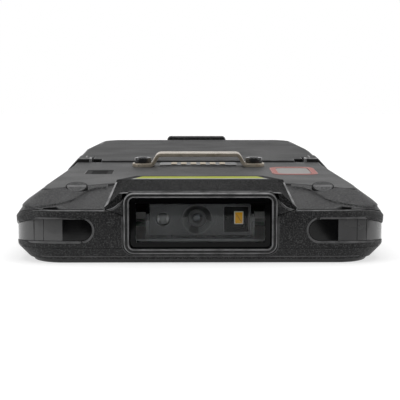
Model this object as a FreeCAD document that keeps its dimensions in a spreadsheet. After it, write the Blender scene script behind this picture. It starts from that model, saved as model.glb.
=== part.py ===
"""Portable barcode data terminal, lying on its screen with its flat back up.

Millimetres. +Z runs from the screen to the back, -Y is the scan end, +Y is the tail with the
charging socket, and +X is to the right when the back is up and the scan end faces the viewer.
The origin lies on the supporting surface, under the middle of the body.
"""

import FreeCAD, Part
import math
import os
import re

import Sketcher

SIZES = {
    # Plan of the body
    "body_length": 162,
    "head_width": 80.2,
    "waist_step": 3.6,
    "tail_step": 2.1,
    "head_corner": 12,
    "tail_corner": 14,
    "shoulder_depth": 21,
    "waist_start_depth": 70,
    "waist_end_depth": 47,
    "tail_start_depth": 21,
    "flank_radius": 150,
    # Heights of the shells above the surface that the rim lies on
    "rim_height": 0.9,
    "belly_height": 3.2,
    "split_height": 9.45,
    "nose_rise": 2,
    "nose_land": 2,
    "nose_run": 12,
    "roof_height": 14.25,
    "back_plate_thick": 0.5,
    "cover_rise": 0.6,
    # How far the shells lean in above and below the widest outline
    "belly_inset": 0.3,
    "keel_inset": 2.9,
    "keel_nose_inset": 1,
    "waist_keel_inset": 0.5,
    "brow_inset": 0.8,
    "cheek_inset": 1.4,
    "roof_side_inset": 5.4,
    "waist_roof_inset": 4.2,
    "roof_corner_depth": 12,
    "roof_mid_depth": 26,
    "roof_mid_flank": 3.1,
    "roof_centre_depth": 24,
    "plate_overhang": 0.25,
    # Raised pads on the brow's corners
    "pad_rise": 0.4,
    "pad_inset": 1.2,
    "pad_toe_depth": 3.3,
    "pad_heel_depth": 21.7,
    "pad_side_depth": 38,
    # Walls and gaps
    "head_wall": 3.6,
    "side_wall": 2,
    "roof_wall": 1.5,
    "seam_gap": 0.1,
    "fit_gap": 0.1,
    "seam_y": -2,
    # Screen side
    "glass_end_margin": 6,
    "glass_side_margin": 2.5,
    "glass_corner": 8,
    "glass_recess": 0.4,
    "glass_thick": 1,
    "rim_head_inset": 4.1,
    "rim_waist_inset": 1.5,
    "rim_end_inset": 1.6,
    "rim_flare": 0.6,
    "rim_tighten": 1.3,
    "seal_thick": 0.3,
    "display_side_border": 2.2,
    "display_end_border": 8,
    "display_thick": 1.9,
    "frame_height": 3.4,
    "earpiece_width": 12,
    "front_camera_reach": 20,
    "front_camera_radius": 2.1,
    # Inner frame and electronics
    "chassis_thick": 1,
    "chassis_clear": 1.8,
    "board_gap": 0.6,
    "board_thick": 1,
    "board_front_depth": 23.5,
    "board_margin": 6.9,
    "shield_height": 1.6,
    "shield_gap": 1,
    "motor_length": 9,
    "post_radius": 2.6,
    # Scan window and its bezel
    "bezel_width": 32.8,
    "bezel_height": 13.15,
    "bezel_centre_z": 8.62,
    "bezel_corner": 2.2,
    "bezel_flange": 1.7,
    "bezel_depth": 4.2,
    "bezel_step": 0.6,
    "window_border": 1.3,
    "window_brow": 1.2,
    "window_corner": 1,
    "window_recess": 1,
    "window_thick": 1.2,
    "tunnel_border": 1.3,
    "tunnel_brow": 1.2,
    # Scan engine
    "engine_width": 22,
    "engine_height": 6.8,
    "engine_length": 13,
    "engine_face_depth": 6.6,
    "engine_centre_z": 8.7,
    "lens_x": -0.7,
    "lens_mouth_radius": 3.05,
    "lens_throat_radius": 1.95,
    "lens_glass_radius": 0.85,
    "aimer_x": -8.1,
    "aimer_radius": 1.45,
    "lamp_x": 7.8,
    "lamp_pocket": 5.4,
    "lamp_width": 2,
    "lamp_height": 2.8,
    # Hood over the scan window
    "hood_front_flank": 4.2,
    "hood_front_drop": 0,
    "hood_front_land": 0.6,
    "hood_ridge_depth": 11.7,
    "hood_ridge_flank": 1.9,
    "hood_ridge_land": 1.8,
    "hood_rise": 1.65,
    "hood_rear_depth": 21.7,
    "hood_rear_inset": 3.3,
    "hood_tail_depth": 25.5,
    "hood_wall": 1.3,
    "collar_radius": 3.6,
    "accent_start_depth": 14.2,
    "accent_length": 5,
    "accent_front_inset": 1.7,
    "accent_rear_inset": 3.4,
    "accent_trim_width": 0.8,
    "accent_sink": 0.5,
    # Plugs over the head screws
    "plug_radius": 2.3,
    "plug_inset": 12.5,
    "plug_depth": 17,
    "screw_radius": 0.95,
    # Corner light windows
    "light_reach": 14.7,
    "light_low": 4.8,
    "light_high": 9.5,
    "light_side_low": 4.1,
    "light_side_high": 7.4,
    "light_turn_depth": 9,
    "light_side_depth": 27,
    "light_recess": 0.35,
    "light_thick": 1.4,
    # Back: strap bracket, dock contacts, speaker, camera
    "strap_thick": 0.9,
    "bracket_half": 17.1,
    "bracket_length": 7,
    "bracket_setback": 11.8,
    "bridge_half": 11.1,
    "bridge_height": 18.35,
    "strap_screw_x": 14.4,
    "strap_head_radius": 2.2,
    "dock_width": 20.2,
    "dock_length": 9,
    "dock_setback": 6.5,
    "dock_pitch": 2.54,
    "grille_inset": 11.85,
    "grille_width": 6.7,
    "grille_length": 10.9,
    "grille_setback": 27.25,
    "camera_inset": 12.8,
    "camera_width": 11.2,
    "camera_length": 19.7,
    "camera_setback": 25.15,
    "camera_border": 1.5,
    # Battery pack and its bay
    "cell_margin": 9.5,
    "cell_thick": 6.5,
    "tray_wall": 1,
    "tray_gap": 0.4,
    "bay_floor": 0.8,
    "bay_wall": 1,
    "cover_wall": 1.2,
    "cover_lid": 2,
    "tray_corner": 5,
    "pack_front": 5.4,
    "tail_block": 7.6,
    "tail_ledge": 5,
    "cover_end_slope": 3,
    "latch_length": 10.2,
    "latch_travel": 1.5,
    "latch_width": 6.2,
    "latch_raise": 0.4,
    "notch_length": 4,
    # Side keys
    "key_height": 3.6,
    "key_z": 6.2,
    "key_proud": 0.8,
    "key_travel": 0.6,
    "scan_key_y": -3,
    "scan_key_length": 20,
    "volume_key_y": 20,
    "volume_key_length": 16,
    "power_key_y": 16,
    "power_key_length": 9,
    # Tail
    "usb_width": 9,
    "usb_height": 3.2,
    "anchor_width": 19,
    "anchor_height": 16.15,
    "anchor_thick": 3.2,
}

doc = FreeCAD.newDocument("data_terminal")
sheet = doc.addObject("Spreadsheet::Sheet", "Dims")
for row, (name, number) in enumerate(SIZES.items(), start=1):
    sheet.set(f"A{row}", name)
    sheet.set(f"B{row}", str(number))
    sheet.setAlias(f"B{row}", name)
doc.recompute()

# Places that several pieces share, worked out from the sheet
FRONT = "(-body_length / 2)"
TAIL = "(body_length / 2)"
HEAD_HALF = "(head_width / 2)"
WAIST = f"({HEAD_HALF} - waist_step)"
TAIL_HALF = f"({HEAD_HALF} - tail_step)"
GLASS_WIDTH = f"(2 * ({WAIST} - glass_side_margin))"
GLASS_LENGTH = "(body_length - 2 * glass_end_margin)"
GLASS_BACK = "(glass_recess + glass_thick)"
SEAL_BACK = f"({GLASS_BACK} + seal_thick)"
DISPLAY_WIDTH = f"({GLASS_WIDTH} - 2 * display_side_border)"
DISPLAY_LENGTH = f"({GLASS_LENGTH} - 2 * display_end_border)"
WINDOW_DEPTH = "(window_recess + window_thick)"
WINDOW_WIDTH = "(bezel_width - 2 * window_border)"
WINDOW_HEIGHT = "(bezel_height - 2 * window_brow)"
TUNNEL_WIDTH = f"({WINDOW_WIDTH} - 2 * tunnel_border)"
TUNNEL_HEIGHT = f"({WINDOW_HEIGHT} - 2 * tunnel_brow)"
BEZEL_HALF = "(bezel_width / 2)"
BEZEL_TOP = "(bezel_centre_z + bezel_height / 2)"
HOOD_TOP = f"({BEZEL_TOP} + hood_rise)"
HOOD_FRONT_HALF = f"({BEZEL_HALF} + hood_front_flank)"
HOOD_REAR_FLAT = f"({BEZEL_HALF} - hood_rear_inset)"
CHASSIS_BACK = "(frame_height + chassis_thick)"
CHASSIS_HALF = f"({WAIST} - side_wall - chassis_clear)"
BOARD_FRONT = f"({CHASSIS_BACK} + board_gap)"
BOARD_BACK = f"({BOARD_FRONT} + board_thick)"
CEILING = "(roof_height - roof_wall)"
PLATE_BACK = "(roof_height + back_plate_thick)"
COVER_TOP = f"({PLATE_BACK} + cover_rise)"
COVER_BASE = "(split_height + seam_gap)"
COVER_UNDER = f"({COVER_TOP} - cover_lid)"
BRACKET_Y = "(seam_y - bracket_setback)"
DOCK_Y = "(seam_y - dock_setback)"
GRILLE_Y = "(seam_y - grille_setback)"
CAMERA_Y = "(seam_y - camera_setback)"
PLUG_X = f"({HEAD_HALF} - plug_inset)"
PLUG_Y = f"({FRONT} + plug_depth)"
LIGHT_END = f"({HEAD_HALF} - light_reach)"
GRILLE_X = f"(-({WAIST} - grille_inset))"
CAMERA_X = f"({WAIST} - camera_inset)"
LATCH_INNER = f"({WAIST} - latch_width)"
BOARD_HALF = f"({WAIST} - board_margin)"
CELL_WIDTH = f"(2 * ({WAIST} - cell_margin))"
BAY_END = f"({TAIL} - tail_block - 0.8)"
TRAY_END = f"({BAY_END} - bay_wall - tray_gap)"
TRAY_FRONT = "(seam_y + pack_front)"
TRAY_HALF = f"({CELL_WIDTH} / 2 + 0.2 + tray_wall)"
TRAY_FLOOR = f"({CHASSIS_BACK} + bay_floor + tray_gap)"
ENGINE_FRONT = f"({FRONT} + engine_face_depth)"

X_AXIS = FreeCAD.Vector(1, 0, 0)
Y_AXIS = FreeCAD.Vector(0, 1, 0)
Z_AXIS = FreeCAD.Vector(0, 0, 1)
WIDE = 60
TALL = 60

nodes = []


def bind(text):
    """Put the sheet's name before every size in an expression."""
    return re.sub(r"[a-z][a-z_]*", lambda word: f"Dims.{word[0]}" if word[0] in SIZES else word[0], text)


def value(text):
    """Work out an expression of sizes in millimetres."""
    return float(sheet.evalExpression(bind(str(text))))


def keep(thing, label):
    """Name a finished piece and list it for writing."""
    thing.Label = label
    nodes.append(thing)
    return thing


def place(thing, x, y, z):
    """Bind the place of a primitive to the sheet."""
    for axis, text in zip("xyz", (x, y, z)):
        thing.setExpression(f"Placement.Base.{axis}", bind(text))


def block(label, x, y, z, width, length, height):
    """A box centred on x and y that stands on z."""
    box = doc.addObject("Part::Box", label)
    for side, text in (("Length", width), ("Width", length), ("Height", height)):
        box.setExpression(side, bind(text))
    place(box, f"{x} - ({width}) / 2", f"{y} - ({length}) / 2", z)
    return box


TURNS = {
    "X": FreeCAD.Rotation(Y_AXIS, 90),
    "Y": FreeCAD.Rotation(X_AXIS, -90),
    "Z": FreeCAD.Rotation(),
}


def rod(label, x, y, z, radius, length, axis="Z"):
    """A cylinder that starts at a point and runs along one axis."""
    cylinder = doc.addObject("Part::Cylinder", label)
    cylinder.Placement = FreeCAD.Placement(FreeCAD.Vector(), TURNS[axis])
    cylinder.setExpression("Radius", bind(radius))
    cylinder.setExpression("Height", bind(length))
    place(cylinder, x, y, z)
    return cylinder


def joined(label, *things):
    """Several primitives as one solid."""
    union = doc.addObject("Part::MultiFuse", label)
    union.Shapes = list(things)
    return union


def gathered(label, *things):
    """Several separate solids in one node."""
    group = doc.addObject("Part::Compound", label)
    group.Links = list(things)
    return group


def carved(label, base, *tools):
    """A solid with one or more tools cut away."""
    difference = doc.addObject("Part::Cut", label)
    difference.Base = base
    difference.Tool = tools[0] if len(tools) == 1 else joined(f"{label}_tools", *tools)
    return difference


class Piece:
    """A body made of sketched features on its own origin planes."""

    def __init__(self, label):
        self.label = label
        self.body = doc.addObject("PartDesign::Body", label)

    def sketch(self, plane="XY_Plane", at="0"):
        """An empty sketch on an origin plane, moved to a height, depth or width."""
        drawing = self.body.newObject("Sketcher::SketchObject", f"{self.label}_sketch")
        support = [item for item in self.body.Origin.OriginFeatures if item.Role == plane][0]
        drawing.AttachmentSupport = [(support, "")]
        drawing.MapMode = "FlatFace"
        shift = f"-({at})" if plane == "XZ_Plane" else at
        drawing.setExpression("AttachmentOffset.Base.z", bind(shift))
        return drawing

    def pad(self, drawing, length, back=False):
        """Raise a sketch into a solid; back sends it against the sketch's normal."""
        feature = self.body.newObject("PartDesign::Pad", f"{self.label}_pad")
        feature.Profile = drawing
        feature.Reversed = back
        feature.setExpression("Length", bind(length))
        doc.recompute()
        return feature

    def pocket(self, drawing, length, back=False):
        """Cut a sketch into the solid, and make sure that it cuts something."""
        before = self.body.Shape.Volume
        feature = self.body.newObject("PartDesign::Pocket", f"{self.label}_pocket")
        feature.Profile = drawing
        feature.Reversed = back
        feature.setExpression("Length", bind(length))
        doc.recompute()
        if not self.body.Shape.Volume < before:
            raise ValueError(f"a pocket of {self.label} cuts nothing")
        return feature

    def row(self, feature, drawing, pitch, count):
        """Repeat a feature along the sketch's horizontal axis."""
        pattern = self.body.newObject("PartDesign::LinearPattern", f"{self.label}_row")
        pattern.Originals = [feature]
        pattern.Direction = (drawing, ["H_Axis"])
        pattern.Occurrences = count
        pattern.setExpression("Length", bind(f"({pitch}) * {count - 1}"))
        self.body.Tip = pattern
        doc.recompute()
        return pattern

    def soften(self, size, test, kind="PartDesign::Fillet"):
        """Round or bevel the edges of the tip that pass a test."""
        base = self.body.Tip
        picked = [f"Edge{i}" for i, edge in enumerate(base.Shape.Edges, start=1) if test(edge)]
        feature = self.body.newObject(kind, f"{self.label}_edge")
        feature.Base = (base, picked)
        amount = "Radius" if kind.endswith("Fillet") else "Size"
        feature.setExpression(amount, bind(size))
        doc.recompute()
        return feature


def datum(drawing, kind, *places, text):
    """One driving constraint of a sketch, bound to an expression."""
    index = drawing.ConstraintCount
    drawing.addConstraint(Sketcher.Constraint(kind, *places, value(text)))
    drawing.renameConstraint(index, f"size{index}")
    drawing.setExpression(f"Constraints.size{index}", bind(text))


def rounded(drawing, width, length, corner, x="0", y="0"):
    """A rectangle with rounded corners."""
    half_x, half_y, radius = value(width) / 2, value(length) / 2, value(corner)
    first = drawing.GeometryCount
    outline = []
    for turn, (side_x, side_y) in enumerate([(1, 1), (-1, 1), (-1, -1), (1, -1)]):
        centre = FreeCAD.Vector(value(x) + side_x * (half_x - radius),
                                value(y) + side_y * (half_y - radius), 0)
        start = math.radians(90 * turn)
        outline.append(Part.ArcOfCircle(Part.Circle(centre, Z_AXIS, radius), start, start + math.pi / 2))
    for turn in range(4):
        outline.append(Part.LineSegment(outline[turn].EndPoint, outline[(turn + 1) % 4].StartPoint))
    drawing.addGeometry(outline, False)
    rules = [Sketcher.Constraint(kind, first + side) for kind, side in
             (("Horizontal", 4), ("Vertical", 5), ("Horizontal", 6), ("Vertical", 7))]
    for turn in range(4):
        rules.append(Sketcher.Constraint("Tangent", first + turn, 2, first + 4 + turn, 1))
        rules.append(Sketcher.Constraint("Tangent", first + 4 + turn, 2, first + (turn + 1) % 4, 1))
    rules += [Sketcher.Constraint("Equal", first, first + turn) for turn in (1, 2, 3)]
    drawing.addConstraint(rules)
    datum(drawing, "Radius", first, text=corner)
    datum(drawing, "DistanceX", first + 2, 3, first, 3, text=f"({width}) - 2 * ({corner})")
    datum(drawing, "DistanceY", first + 2, 3, first, 3, text=f"({length}) - 2 * ({corner})")
    datum(drawing, "DistanceX", -1, 1, first, 3, text=f"{x} + ({width}) / 2 - ({corner})")
    datum(drawing, "DistanceY", -1, 1, first, 3, text=f"{y} + ({length}) / 2 - ({corner})")


def circle(drawing, x, y, radius):
    """A circle at a bound place."""
    first = drawing.GeometryCount
    centre = FreeCAD.Vector(value(x), value(y), 0)
    drawing.addGeometry(Part.Circle(centre, Z_AXIS, value(radius)), False)
    datum(drawing, "Radius", first, text=radius)
    datum(drawing, "DistanceX", -1, 1, first, 3, text=x)
    datum(drawing, "DistanceY", -1, 1, first, 3, text=y)


def polygon(drawing, points):
    """A closed outline of straight lines through bound points."""
    first = drawing.GeometryCount
    corners = [FreeCAD.Vector(value(x), value(y), 0) for x, y in points]
    sides = [Part.LineSegment(a, b) for a, b in zip(corners, corners[1:] + corners[:1])]
    drawing.addGeometry(sides, False)
    count = len(points)
    for side in range(count):
        ahead = first + (side + 1) % count
        drawing.addConstraint(Sketcher.Constraint("Coincident", first + side, 2, ahead, 1))
    for side, (x, y) in enumerate(points):
        datum(drawing, "DistanceX", -1, 1, first + side, 1, text=x)
        datum(drawing, "DistanceY", -1, 1, first + side, 1, text=y)


def slab(label, z, height, width, length, corner, x="0", y="0", holes=(), bores=()):
    """A plate with rounded corners, with rounded openings and round holes through it."""
    piece = Piece(label)
    drawing = piece.sketch(at=z)
    rounded(drawing, width, length, corner, x, y)
    for hole in holes:
        rounded(drawing, *hole)
    for bore in bores:
        circle(drawing, *bore)
    piece.pad(drawing, height)
    return piece


# Free shapes, worked out from the sheet


def vector(x, y, z):
    """A point at expressions of sizes."""
    return FreeCAD.Vector(value(x), value(y), value(z))


def brick(x_low, x_high, y_low, y_high, z_low, z_high):
    """A box between limits."""
    low = vector(x_low, y_low, z_low)
    size = vector(x_high, y_high, z_high) - low
    return Part.makeBox(size.x, size.y, size.z, low)


def pin(x, y, z, radius, length, axis=Z_AXIS):
    """A cylinder from a point along an axis."""
    return Part.makeCylinder(value(radius), value(length), vector(x, y, z), axis)


def softened_block(x_low, x_high, y_low, y_high, z_low, z_high, radius, axis):
    """A box between limits with the edges along one axis rounded."""
    box = brick(x_low, x_high, y_low, y_high, z_low, z_high)
    edges = [edge for edge in box.Edges if abs(edge.tangentAt(edge.FirstParameter).dot(axis)) > 0.99]
    return box.makeFillet(value(radius), edges)


def mirrored(shape):
    """The left twin of a right-hand shape."""
    return shape.mirror(FreeCAD.Vector(), X_AXIS)


def feature(label, shape):
    """A free shape as a kept piece."""
    thing = doc.addObject("Part::Feature", label)
    thing.Shape = shape.removeSplitter()
    thing.Placement = FreeCAD.Placement()
    return keep(thing, label)


def rounded_path(corners, height):
    """A closed wire through corners (x, y, radius); each radius is limited by its sides."""
    count = len(corners)
    spots = [FreeCAD.Vector(x, y, height) for x, y, radius in corners]
    starts, middles, ends = [], [], []
    for i, (x, y, radius) in enumerate(corners):
        back, ahead = spots[i - 1] - spots[i], spots[(i + 1) % count] - spots[i]
        shorter = min(back.Length, ahead.Length)
        back.normalize()
        ahead.normalize()
        half_angle = math.acos(max(-1, min(1, back.dot(ahead)))) / 2
        if radius == 0 or half_angle > math.radians(89.9):
            starts.append(spots[i])
            middles.append(None)
            ends.append(spots[i])
            continue
        reach = min(radius / math.tan(half_angle), 0.46 * shorter)
        true_radius = reach * math.tan(half_angle)
        inward = (back + ahead).normalize()
        starts.append(spots[i] + back * reach)
        middles.append(spots[i] + inward * (true_radius / math.sin(half_angle) - true_radius))
        ends.append(spots[i] + ahead * reach)
    edges = []
    for i in range(count):
        if middles[i] is not None:
            edges.append(Part.Arc(starts[i], middles[i], ends[i]).toShape())
        edges.append(Part.LineSegment(ends[i], starts[(i + 1) % count]).toShape())
    return Part.Wire(edges)


def outline(height, fronts, head, waist, tail, end, tighten=1.6):
    """The body's plan at one height, leaning in by the given amounts.

    fronts holds the inset of the scan end at the middle, under the hood's flank and at the corner.
    tighten is how much a head corner's radius shrinks for each millimetre of the head's inset.
    """
    front_y, tail_y = value(FRONT), value(TAIL)
    head_half = value(HEAD_HALF) - head
    waist_half = value(WAIST) - waist
    tail_half = value(TAIL_HALF) - tail
    flank = value("flank_radius")
    corner = max(value("head_corner") - tighten * head, 1)
    tail_corner = max(value("tail_corner") - 0.4 * end, 1)
    right = [
        (value(f"{BEZEL_HALF} + roof_mid_flank"), front_y + fronts[1], 0),
        (head_half, front_y + fronts[2], corner),
        (head_half, front_y + value("shoulder_depth"), flank),
        (waist_half, front_y + value("waist_start_depth"), flank),
        (waist_half, tail_y - value("waist_end_depth"), flank),
        (tail_half, tail_y - value("tail_start_depth"), flank),
        (tail_half, tail_y - end, tail_corner),
    ]
    left = [(-x, y, radius) for x, y, radius in reversed(right)]
    middle = [(0, front_y + fronts[0], 0)]
    return rounded_path(middle + right + left, height)


def even(inset):
    """The same inset along the whole scan end."""
    return (inset, inset, inset)


def ruled(sections):
    """A solid whose straight-sided skin joins the sections in turn."""
    return Part.makeLoft(sections, True, True)


def plan_prism(inset, waist_inset, low, high):
    """The widest outline, shrunk and raised straight from one height to another."""
    ring = outline(low, even(inset), inset, waist_inset, waist_inset, inset)
    return Part.Face(ring).extrude(FreeCAD.Vector(0, 0, high - low))


def hull(wall=0.0, waist_wall=0.0, drop=0.0):
    """The whole outer form of frame and back, or the same form with walls taken off."""
    brow = value("split_height + nose_rise")
    roof = [value(size) + wall for size in ("roof_centre_depth", "roof_mid_depth", "roof_corner_depth")]
    keel = value("keel_inset") + wall
    belly = value("belly_inset") + wall
    return ruled([
        outline(value("rim_height"), even(value("keel_nose_inset") + wall), keel,
                value("waist_keel_inset") + waist_wall, value("waist_keel_inset") + wall, keel),
        outline(value("belly_height"), even(belly), belly, value("waist_keel_inset / 2") + waist_wall,
                belly, belly),
        outline(value("split_height"), even(wall), wall, waist_wall, wall, wall),
        outline(brow - drop / 3, even(value("brow_inset") + wall), value("cheek_inset") + wall,
                value("cheek_inset") + waist_wall, value("cheek_inset") + wall, value("brow_inset") + wall),
        outline(value("roof_height") - drop, roof, value("roof_side_inset") + wall,
                value("waist_roof_inset") + waist_wall, value("roof_side_inset") + wall,
                value("roof_side_inset") + wall),
    ])


def split_side(above, lift=0.0):
    """Everything above or below the parting surface, which rises to the nose."""
    front, low = value(FRONT), value("split_height") + lift
    nose = low + value("nose_rise")
    far = TALL if above else -TALL
    corners = [
        (-2 * WIDE, nose),
        (front + value("nose_land"), nose),
        (front + value("nose_run"), low),
        (2 * WIDE, low),
        (2 * WIDE, far),
        (-2 * WIDE, far),
    ]
    spots = [FreeCAD.Vector(-WIDE, y, z) for y, z in corners]
    return Part.Face(Part.makePolygon(spots + spots[:1])).extrude(FreeCAD.Vector(2 * WIDE, 0, 0))


def upright_panel(width, height, corner, centre_z, y_low, y_high):
    """A rounded rectangle that faces the scan end, between two depths."""
    return softened_block(f"-({width}) / 2", f"({width}) / 2", y_low, y_high,
                          f"{centre_z} - ({height}) / 2", f"{centre_z} + ({height}) / 2", corner, Y_AXIS)


def light_band():
    """The room of one corner light window, before it is limited to the wall's thickness."""
    front = value(FRONT)
    turn, end = front + value("light_turn_depth"), front + value("light_side_depth")
    low, high = value("light_low"), value("light_high")
    side_low, side_high = value("light_side_low"), value("light_side_high")
    corners = [(front - 2, low), (front + 1, low), (turn, side_low), (end, side_low),
               (end, side_high), (turn, side_high), (front + 1, high), (front - 2, high)]
    spots = [FreeCAD.Vector(value(LIGHT_END), y, z) for y, z in corners]
    band = Part.Face(Part.makePolygon(spots + spots[:1])).extrude(FreeCAD.Vector(WIDE, 0, 0))
    nose_end = Part.makeCylinder((high - low) / 2, value("head_wall") + 4,
                                 FreeCAD.Vector(value(LIGHT_END), front - 2, (low + high) / 2), Y_AXIS)
    side_spot = FreeCAD.Vector(value(f"{WAIST} - 6"), end, (side_low + side_high) / 2)
    side_end = Part.makeCylinder((side_high - side_low) / 2, WIDE, side_spot, X_AXIS)
    return band.fuse([nose_end, side_end])


def skin_ring(outer, inner):
    """The upright skin of the widest outline between two insets."""
    tall = value("roof_height")
    return plan_prism(outer, outer, 0, tall).cut(plan_prism(inner, inner, -1, tall + 1))


def key_slot(side, y, length, gap):
    """The cut through the side wall for a key; side is 1 on the right and -1 on the left."""
    slot = softened_block(f"{WAIST} - 2 * side_wall", f"{WAIST} + side_wall",
                          f"{y} - ({length}) / 2 - {gap}", f"{y} + ({length}) / 2 + {gap}",
                          f"key_z - key_height / 2 - {gap}", f"key_z + key_height / 2 + {gap}",
                          "key_height / 3", X_AXIS)
    return slot if side > 0 else mirrored(slot)


def hood_section(depth, base_half, base_z, side_half, side_z, flat_half, flat_z, inset=0.0, floor=8.0):
    """One cross section of the hood at a depth behind the scan end."""
    y = value(FRONT) + depth
    right = [(base_half - inset, floor), (base_half - inset, base_z - inset),
             (side_half - inset, side_z - inset), (flat_half - inset, flat_z - inset)]
    left = [(-x, z) for x, z in reversed(right)]
    spots = [FreeCAD.Vector(x, y, z) for x, z in right + left]
    return Part.makePolygon(spots + spots[:1])


def hood_form(inset=0.0, front_inset=0.0, rear_inset=0.0):
    """The hood's outer form, or the same form shrunk for its inside."""
    front_half, front_top = value(HOOD_FRONT_HALF), value(f"{BEZEL_TOP} - hood_front_drop")
    ridge_half, top = value(f"{BEZEL_HALF} + hood_ridge_flank"), value(HOOD_TOP)
    rear_flat, rear_top = value(HOOD_REAR_FLAT), value(f"{HOOD_TOP} - 0.1")
    brow, plate = value("split_height + nose_rise"), value(PLATE_BACK)
    return ruled([
        hood_section(front_inset, front_half, brow + 0.1, front_half - 0.1, brow + 0.5,
                     value(f"{BEZEL_HALF} + hood_front_land"), front_top, inset),
        hood_section(value("hood_ridge_depth"), ridge_half + 1.2, plate - 0.9, ridge_half, top,
                     ridge_half - value("hood_ridge_land"), top, inset),
        hood_section(value("hood_rear_depth"), rear_flat + 2.9, plate - 0.2, rear_flat + 1.2, rear_top,
                     rear_flat, rear_top, inset),
        hood_section(value("hood_tail_depth") - rear_inset, rear_flat - 0.1, plate, rear_flat - 0.6,
                     plate + 0.2, rear_flat - 1.6, plate + 0.2, inset),
    ])


def collar(gap=0.0):
    """The two concave webs beside the bezel, where the front face runs up to its corners."""
    radius = value("collar_radius")
    inner, base = value("bezel_width / 2 + fit_gap"), value("split_height + nose_rise")
    spots = [FreeCAD.Vector(inner + radius, 0, base), FreeCAD.Vector(inner, 0, base + radius)]
    centre = FreeCAD.Vector(inner + radius, 0, base + radius)
    bulge = centre + (FreeCAD.Vector(inner, 0, base) - centre).normalize() * radius
    foot, heel = FreeCAD.Vector(inner + radius, 0, base - 1), FreeCAD.Vector(inner, 0, base - 1)
    edges = [Part.Arc(spots[0], bulge, spots[1]).toShape(),
             Part.LineSegment(spots[1], heel).toShape(),
             Part.LineSegment(heel, foot).toShape(),
             Part.LineSegment(foot, spots[0]).toShape()]
    web = Part.Face(Part.Wire(edges)).extrude(FreeCAD.Vector(0, value("bezel_flange") + gap, 0))
    web.translate(FreeCAD.Vector(0, value(FRONT) - gap + 0.3, 0))
    return web.fuse(mirrored(web))


# A brow pad's inner edge: how far past the hood's flank, and the share of the way from toe to heel
PAD_SWEEP = [(0.4, 1), (3.4, 0.82), (5.4, 0.54), (7.4, 0.22), (9.1, 0.1), (13.7, 0)]


def brow_pad_pair():
    """Two raised pads on the brow's corners, whose inner edge sweeps from the hood out to the nose."""
    front, flank, up = value(FRONT), value(HOOD_FRONT_HALF), FreeCAD.Vector(0, 0, TALL)
    toe, heel = front + value("pad_toe_depth"), front + value("pad_heel_depth")
    side = front + value("pad_side_depth")
    sweep = [FreeCAD.Vector(flank + reach, toe + share * (heel - toe), 0) for reach, share in PAD_SWEEP]
    curve = Part.BSplineCurve()
    curve.interpolate(sweep)
    corners = [sweep[-1], FreeCAD.Vector(WIDE, toe, 0), FreeCAD.Vector(WIDE, side + 6, 0),
               FreeCAD.Vector(flank, side, 0), sweep[0]]
    sides = [Part.LineSegment(start, end).toShape() for start, end in zip(corners, corners[1:])]
    field = Part.Face(Part.Wire([curve.toShape()] + sides)).extrude(up)
    brow, inset, clear = value("split_height + nose_rise"), value("pad_inset"), value("2 * pad_rise")
    room = Part.Face(outline(brow, even(inset), inset, inset, inset, inset)).extrude(up)
    roof = [value(size) - clear for size in ("roof_centre_depth", "roof_mid_depth", "roof_corner_depth")]
    roof_side, roof_waist = value("roof_side_inset") - clear, value("waist_roof_inset") - clear
    flat = Part.Face(outline(brow, roof, roof_side, roof_waist, roof_side, roof_side)).extrude(up)
    lifted = body_form.translated(FreeCAD.Vector(0, 0, value("pad_rise")))
    pad = lifted.common(field).common(room).cut([flat, body_room])
    return Part.makeCompound([pad, mirrored(pad)])


# The outer form and the tools that several shells share
body_form = hull()
body_room = hull(value("head_wall"), value("side_wall"), value("roof_wall"))
brow_pads = brow_pad_pair()
plug_holes = [pin(f"{side} * {PLUG_X}", PLUG_Y, f"{CEILING} - 2.4", "plug_radius + fit_gap", "6")
              for side in (-1, 1)]
hood_shell = hood_form()


def build_front_frame():
    """The rim round the screen, with a ledge behind the glass for its seal."""
    pocket = f"{GLASS_WIDTH} + 2 * fit_gap", f"{GLASS_LENGTH} + 2 * fit_gap"
    gap = value("fit_gap")

    def ring(height, flare):
        head, waist = value("rim_head_inset") - flare, value("rim_waist_inset") - flare
        nose = value("rim_end_inset") - flare
        end = nose + value("keel_inset - keel_nose_inset")
        return outline(height, even(nose), head, waist, (head + waist) / 2, end, value("rim_tighten"))

    rim = ruled([ring(0, 0), ring(value("rim_height"), value("rim_flare"))])
    neck = plan_prism(value("head_wall") + gap, value("side_wall") + gap, value("rim_height"),
                      value("frame_height"))
    glass_room = softened_block(f"-({pocket[0]}) / 2", f"({pocket[0]}) / 2", f"-({pocket[1]}) / 2",
                                f"({pocket[1]}) / 2", "-1", SEAL_BACK, "glass_corner", Z_AXIS)
    screen = f"({DISPLAY_WIDTH} / 2 + 3 * fit_gap)", f"({DISPLAY_LENGTH} / 2 + 3 * fit_gap)"
    screen_room = softened_block(f"-{screen[0]}", screen[0], f"-{screen[1]}", screen[1], "-1",
                                 "frame_height + 1", "2", Z_AXIS)
    top_y = f"{FRONT} + glass_end_margin + display_end_border / 2"
    ear_room = brick("-earpiece_width / 2 - fit_gap", "earpiece_width / 2 + fit_gap",
                     f"{top_y} - 2 - fit_gap", f"{top_y} + 2 + fit_gap", "0", "frame_height + 1")
    eye_room = pin("front_camera_reach", top_y, "0", "front_camera_radius + fit_gap", "frame_height + 1")
    nose_room = brick("-bezel_width / 2", "bezel_width / 2", f"{FRONT} - 1",
                      f"{FRONT} + bezel_depth + fit_gap", "rim_height", "frame_height + 1")
    feature("front_frame", rim.fuse(neck).cut([glass_room, screen_room, ear_room, eye_room, nose_room]))
    keep(block("earpiece", "0", top_y, SEAL_BACK, "earpiece_width", "4", f"frame_height - {SEAL_BACK}"),
         "earpiece")
    keep(rod("front_camera", "front_camera_reach", top_y, SEAL_BACK, "front_camera_radius",
             f"frame_height - {SEAL_BACK}"), "front_camera")


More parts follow.
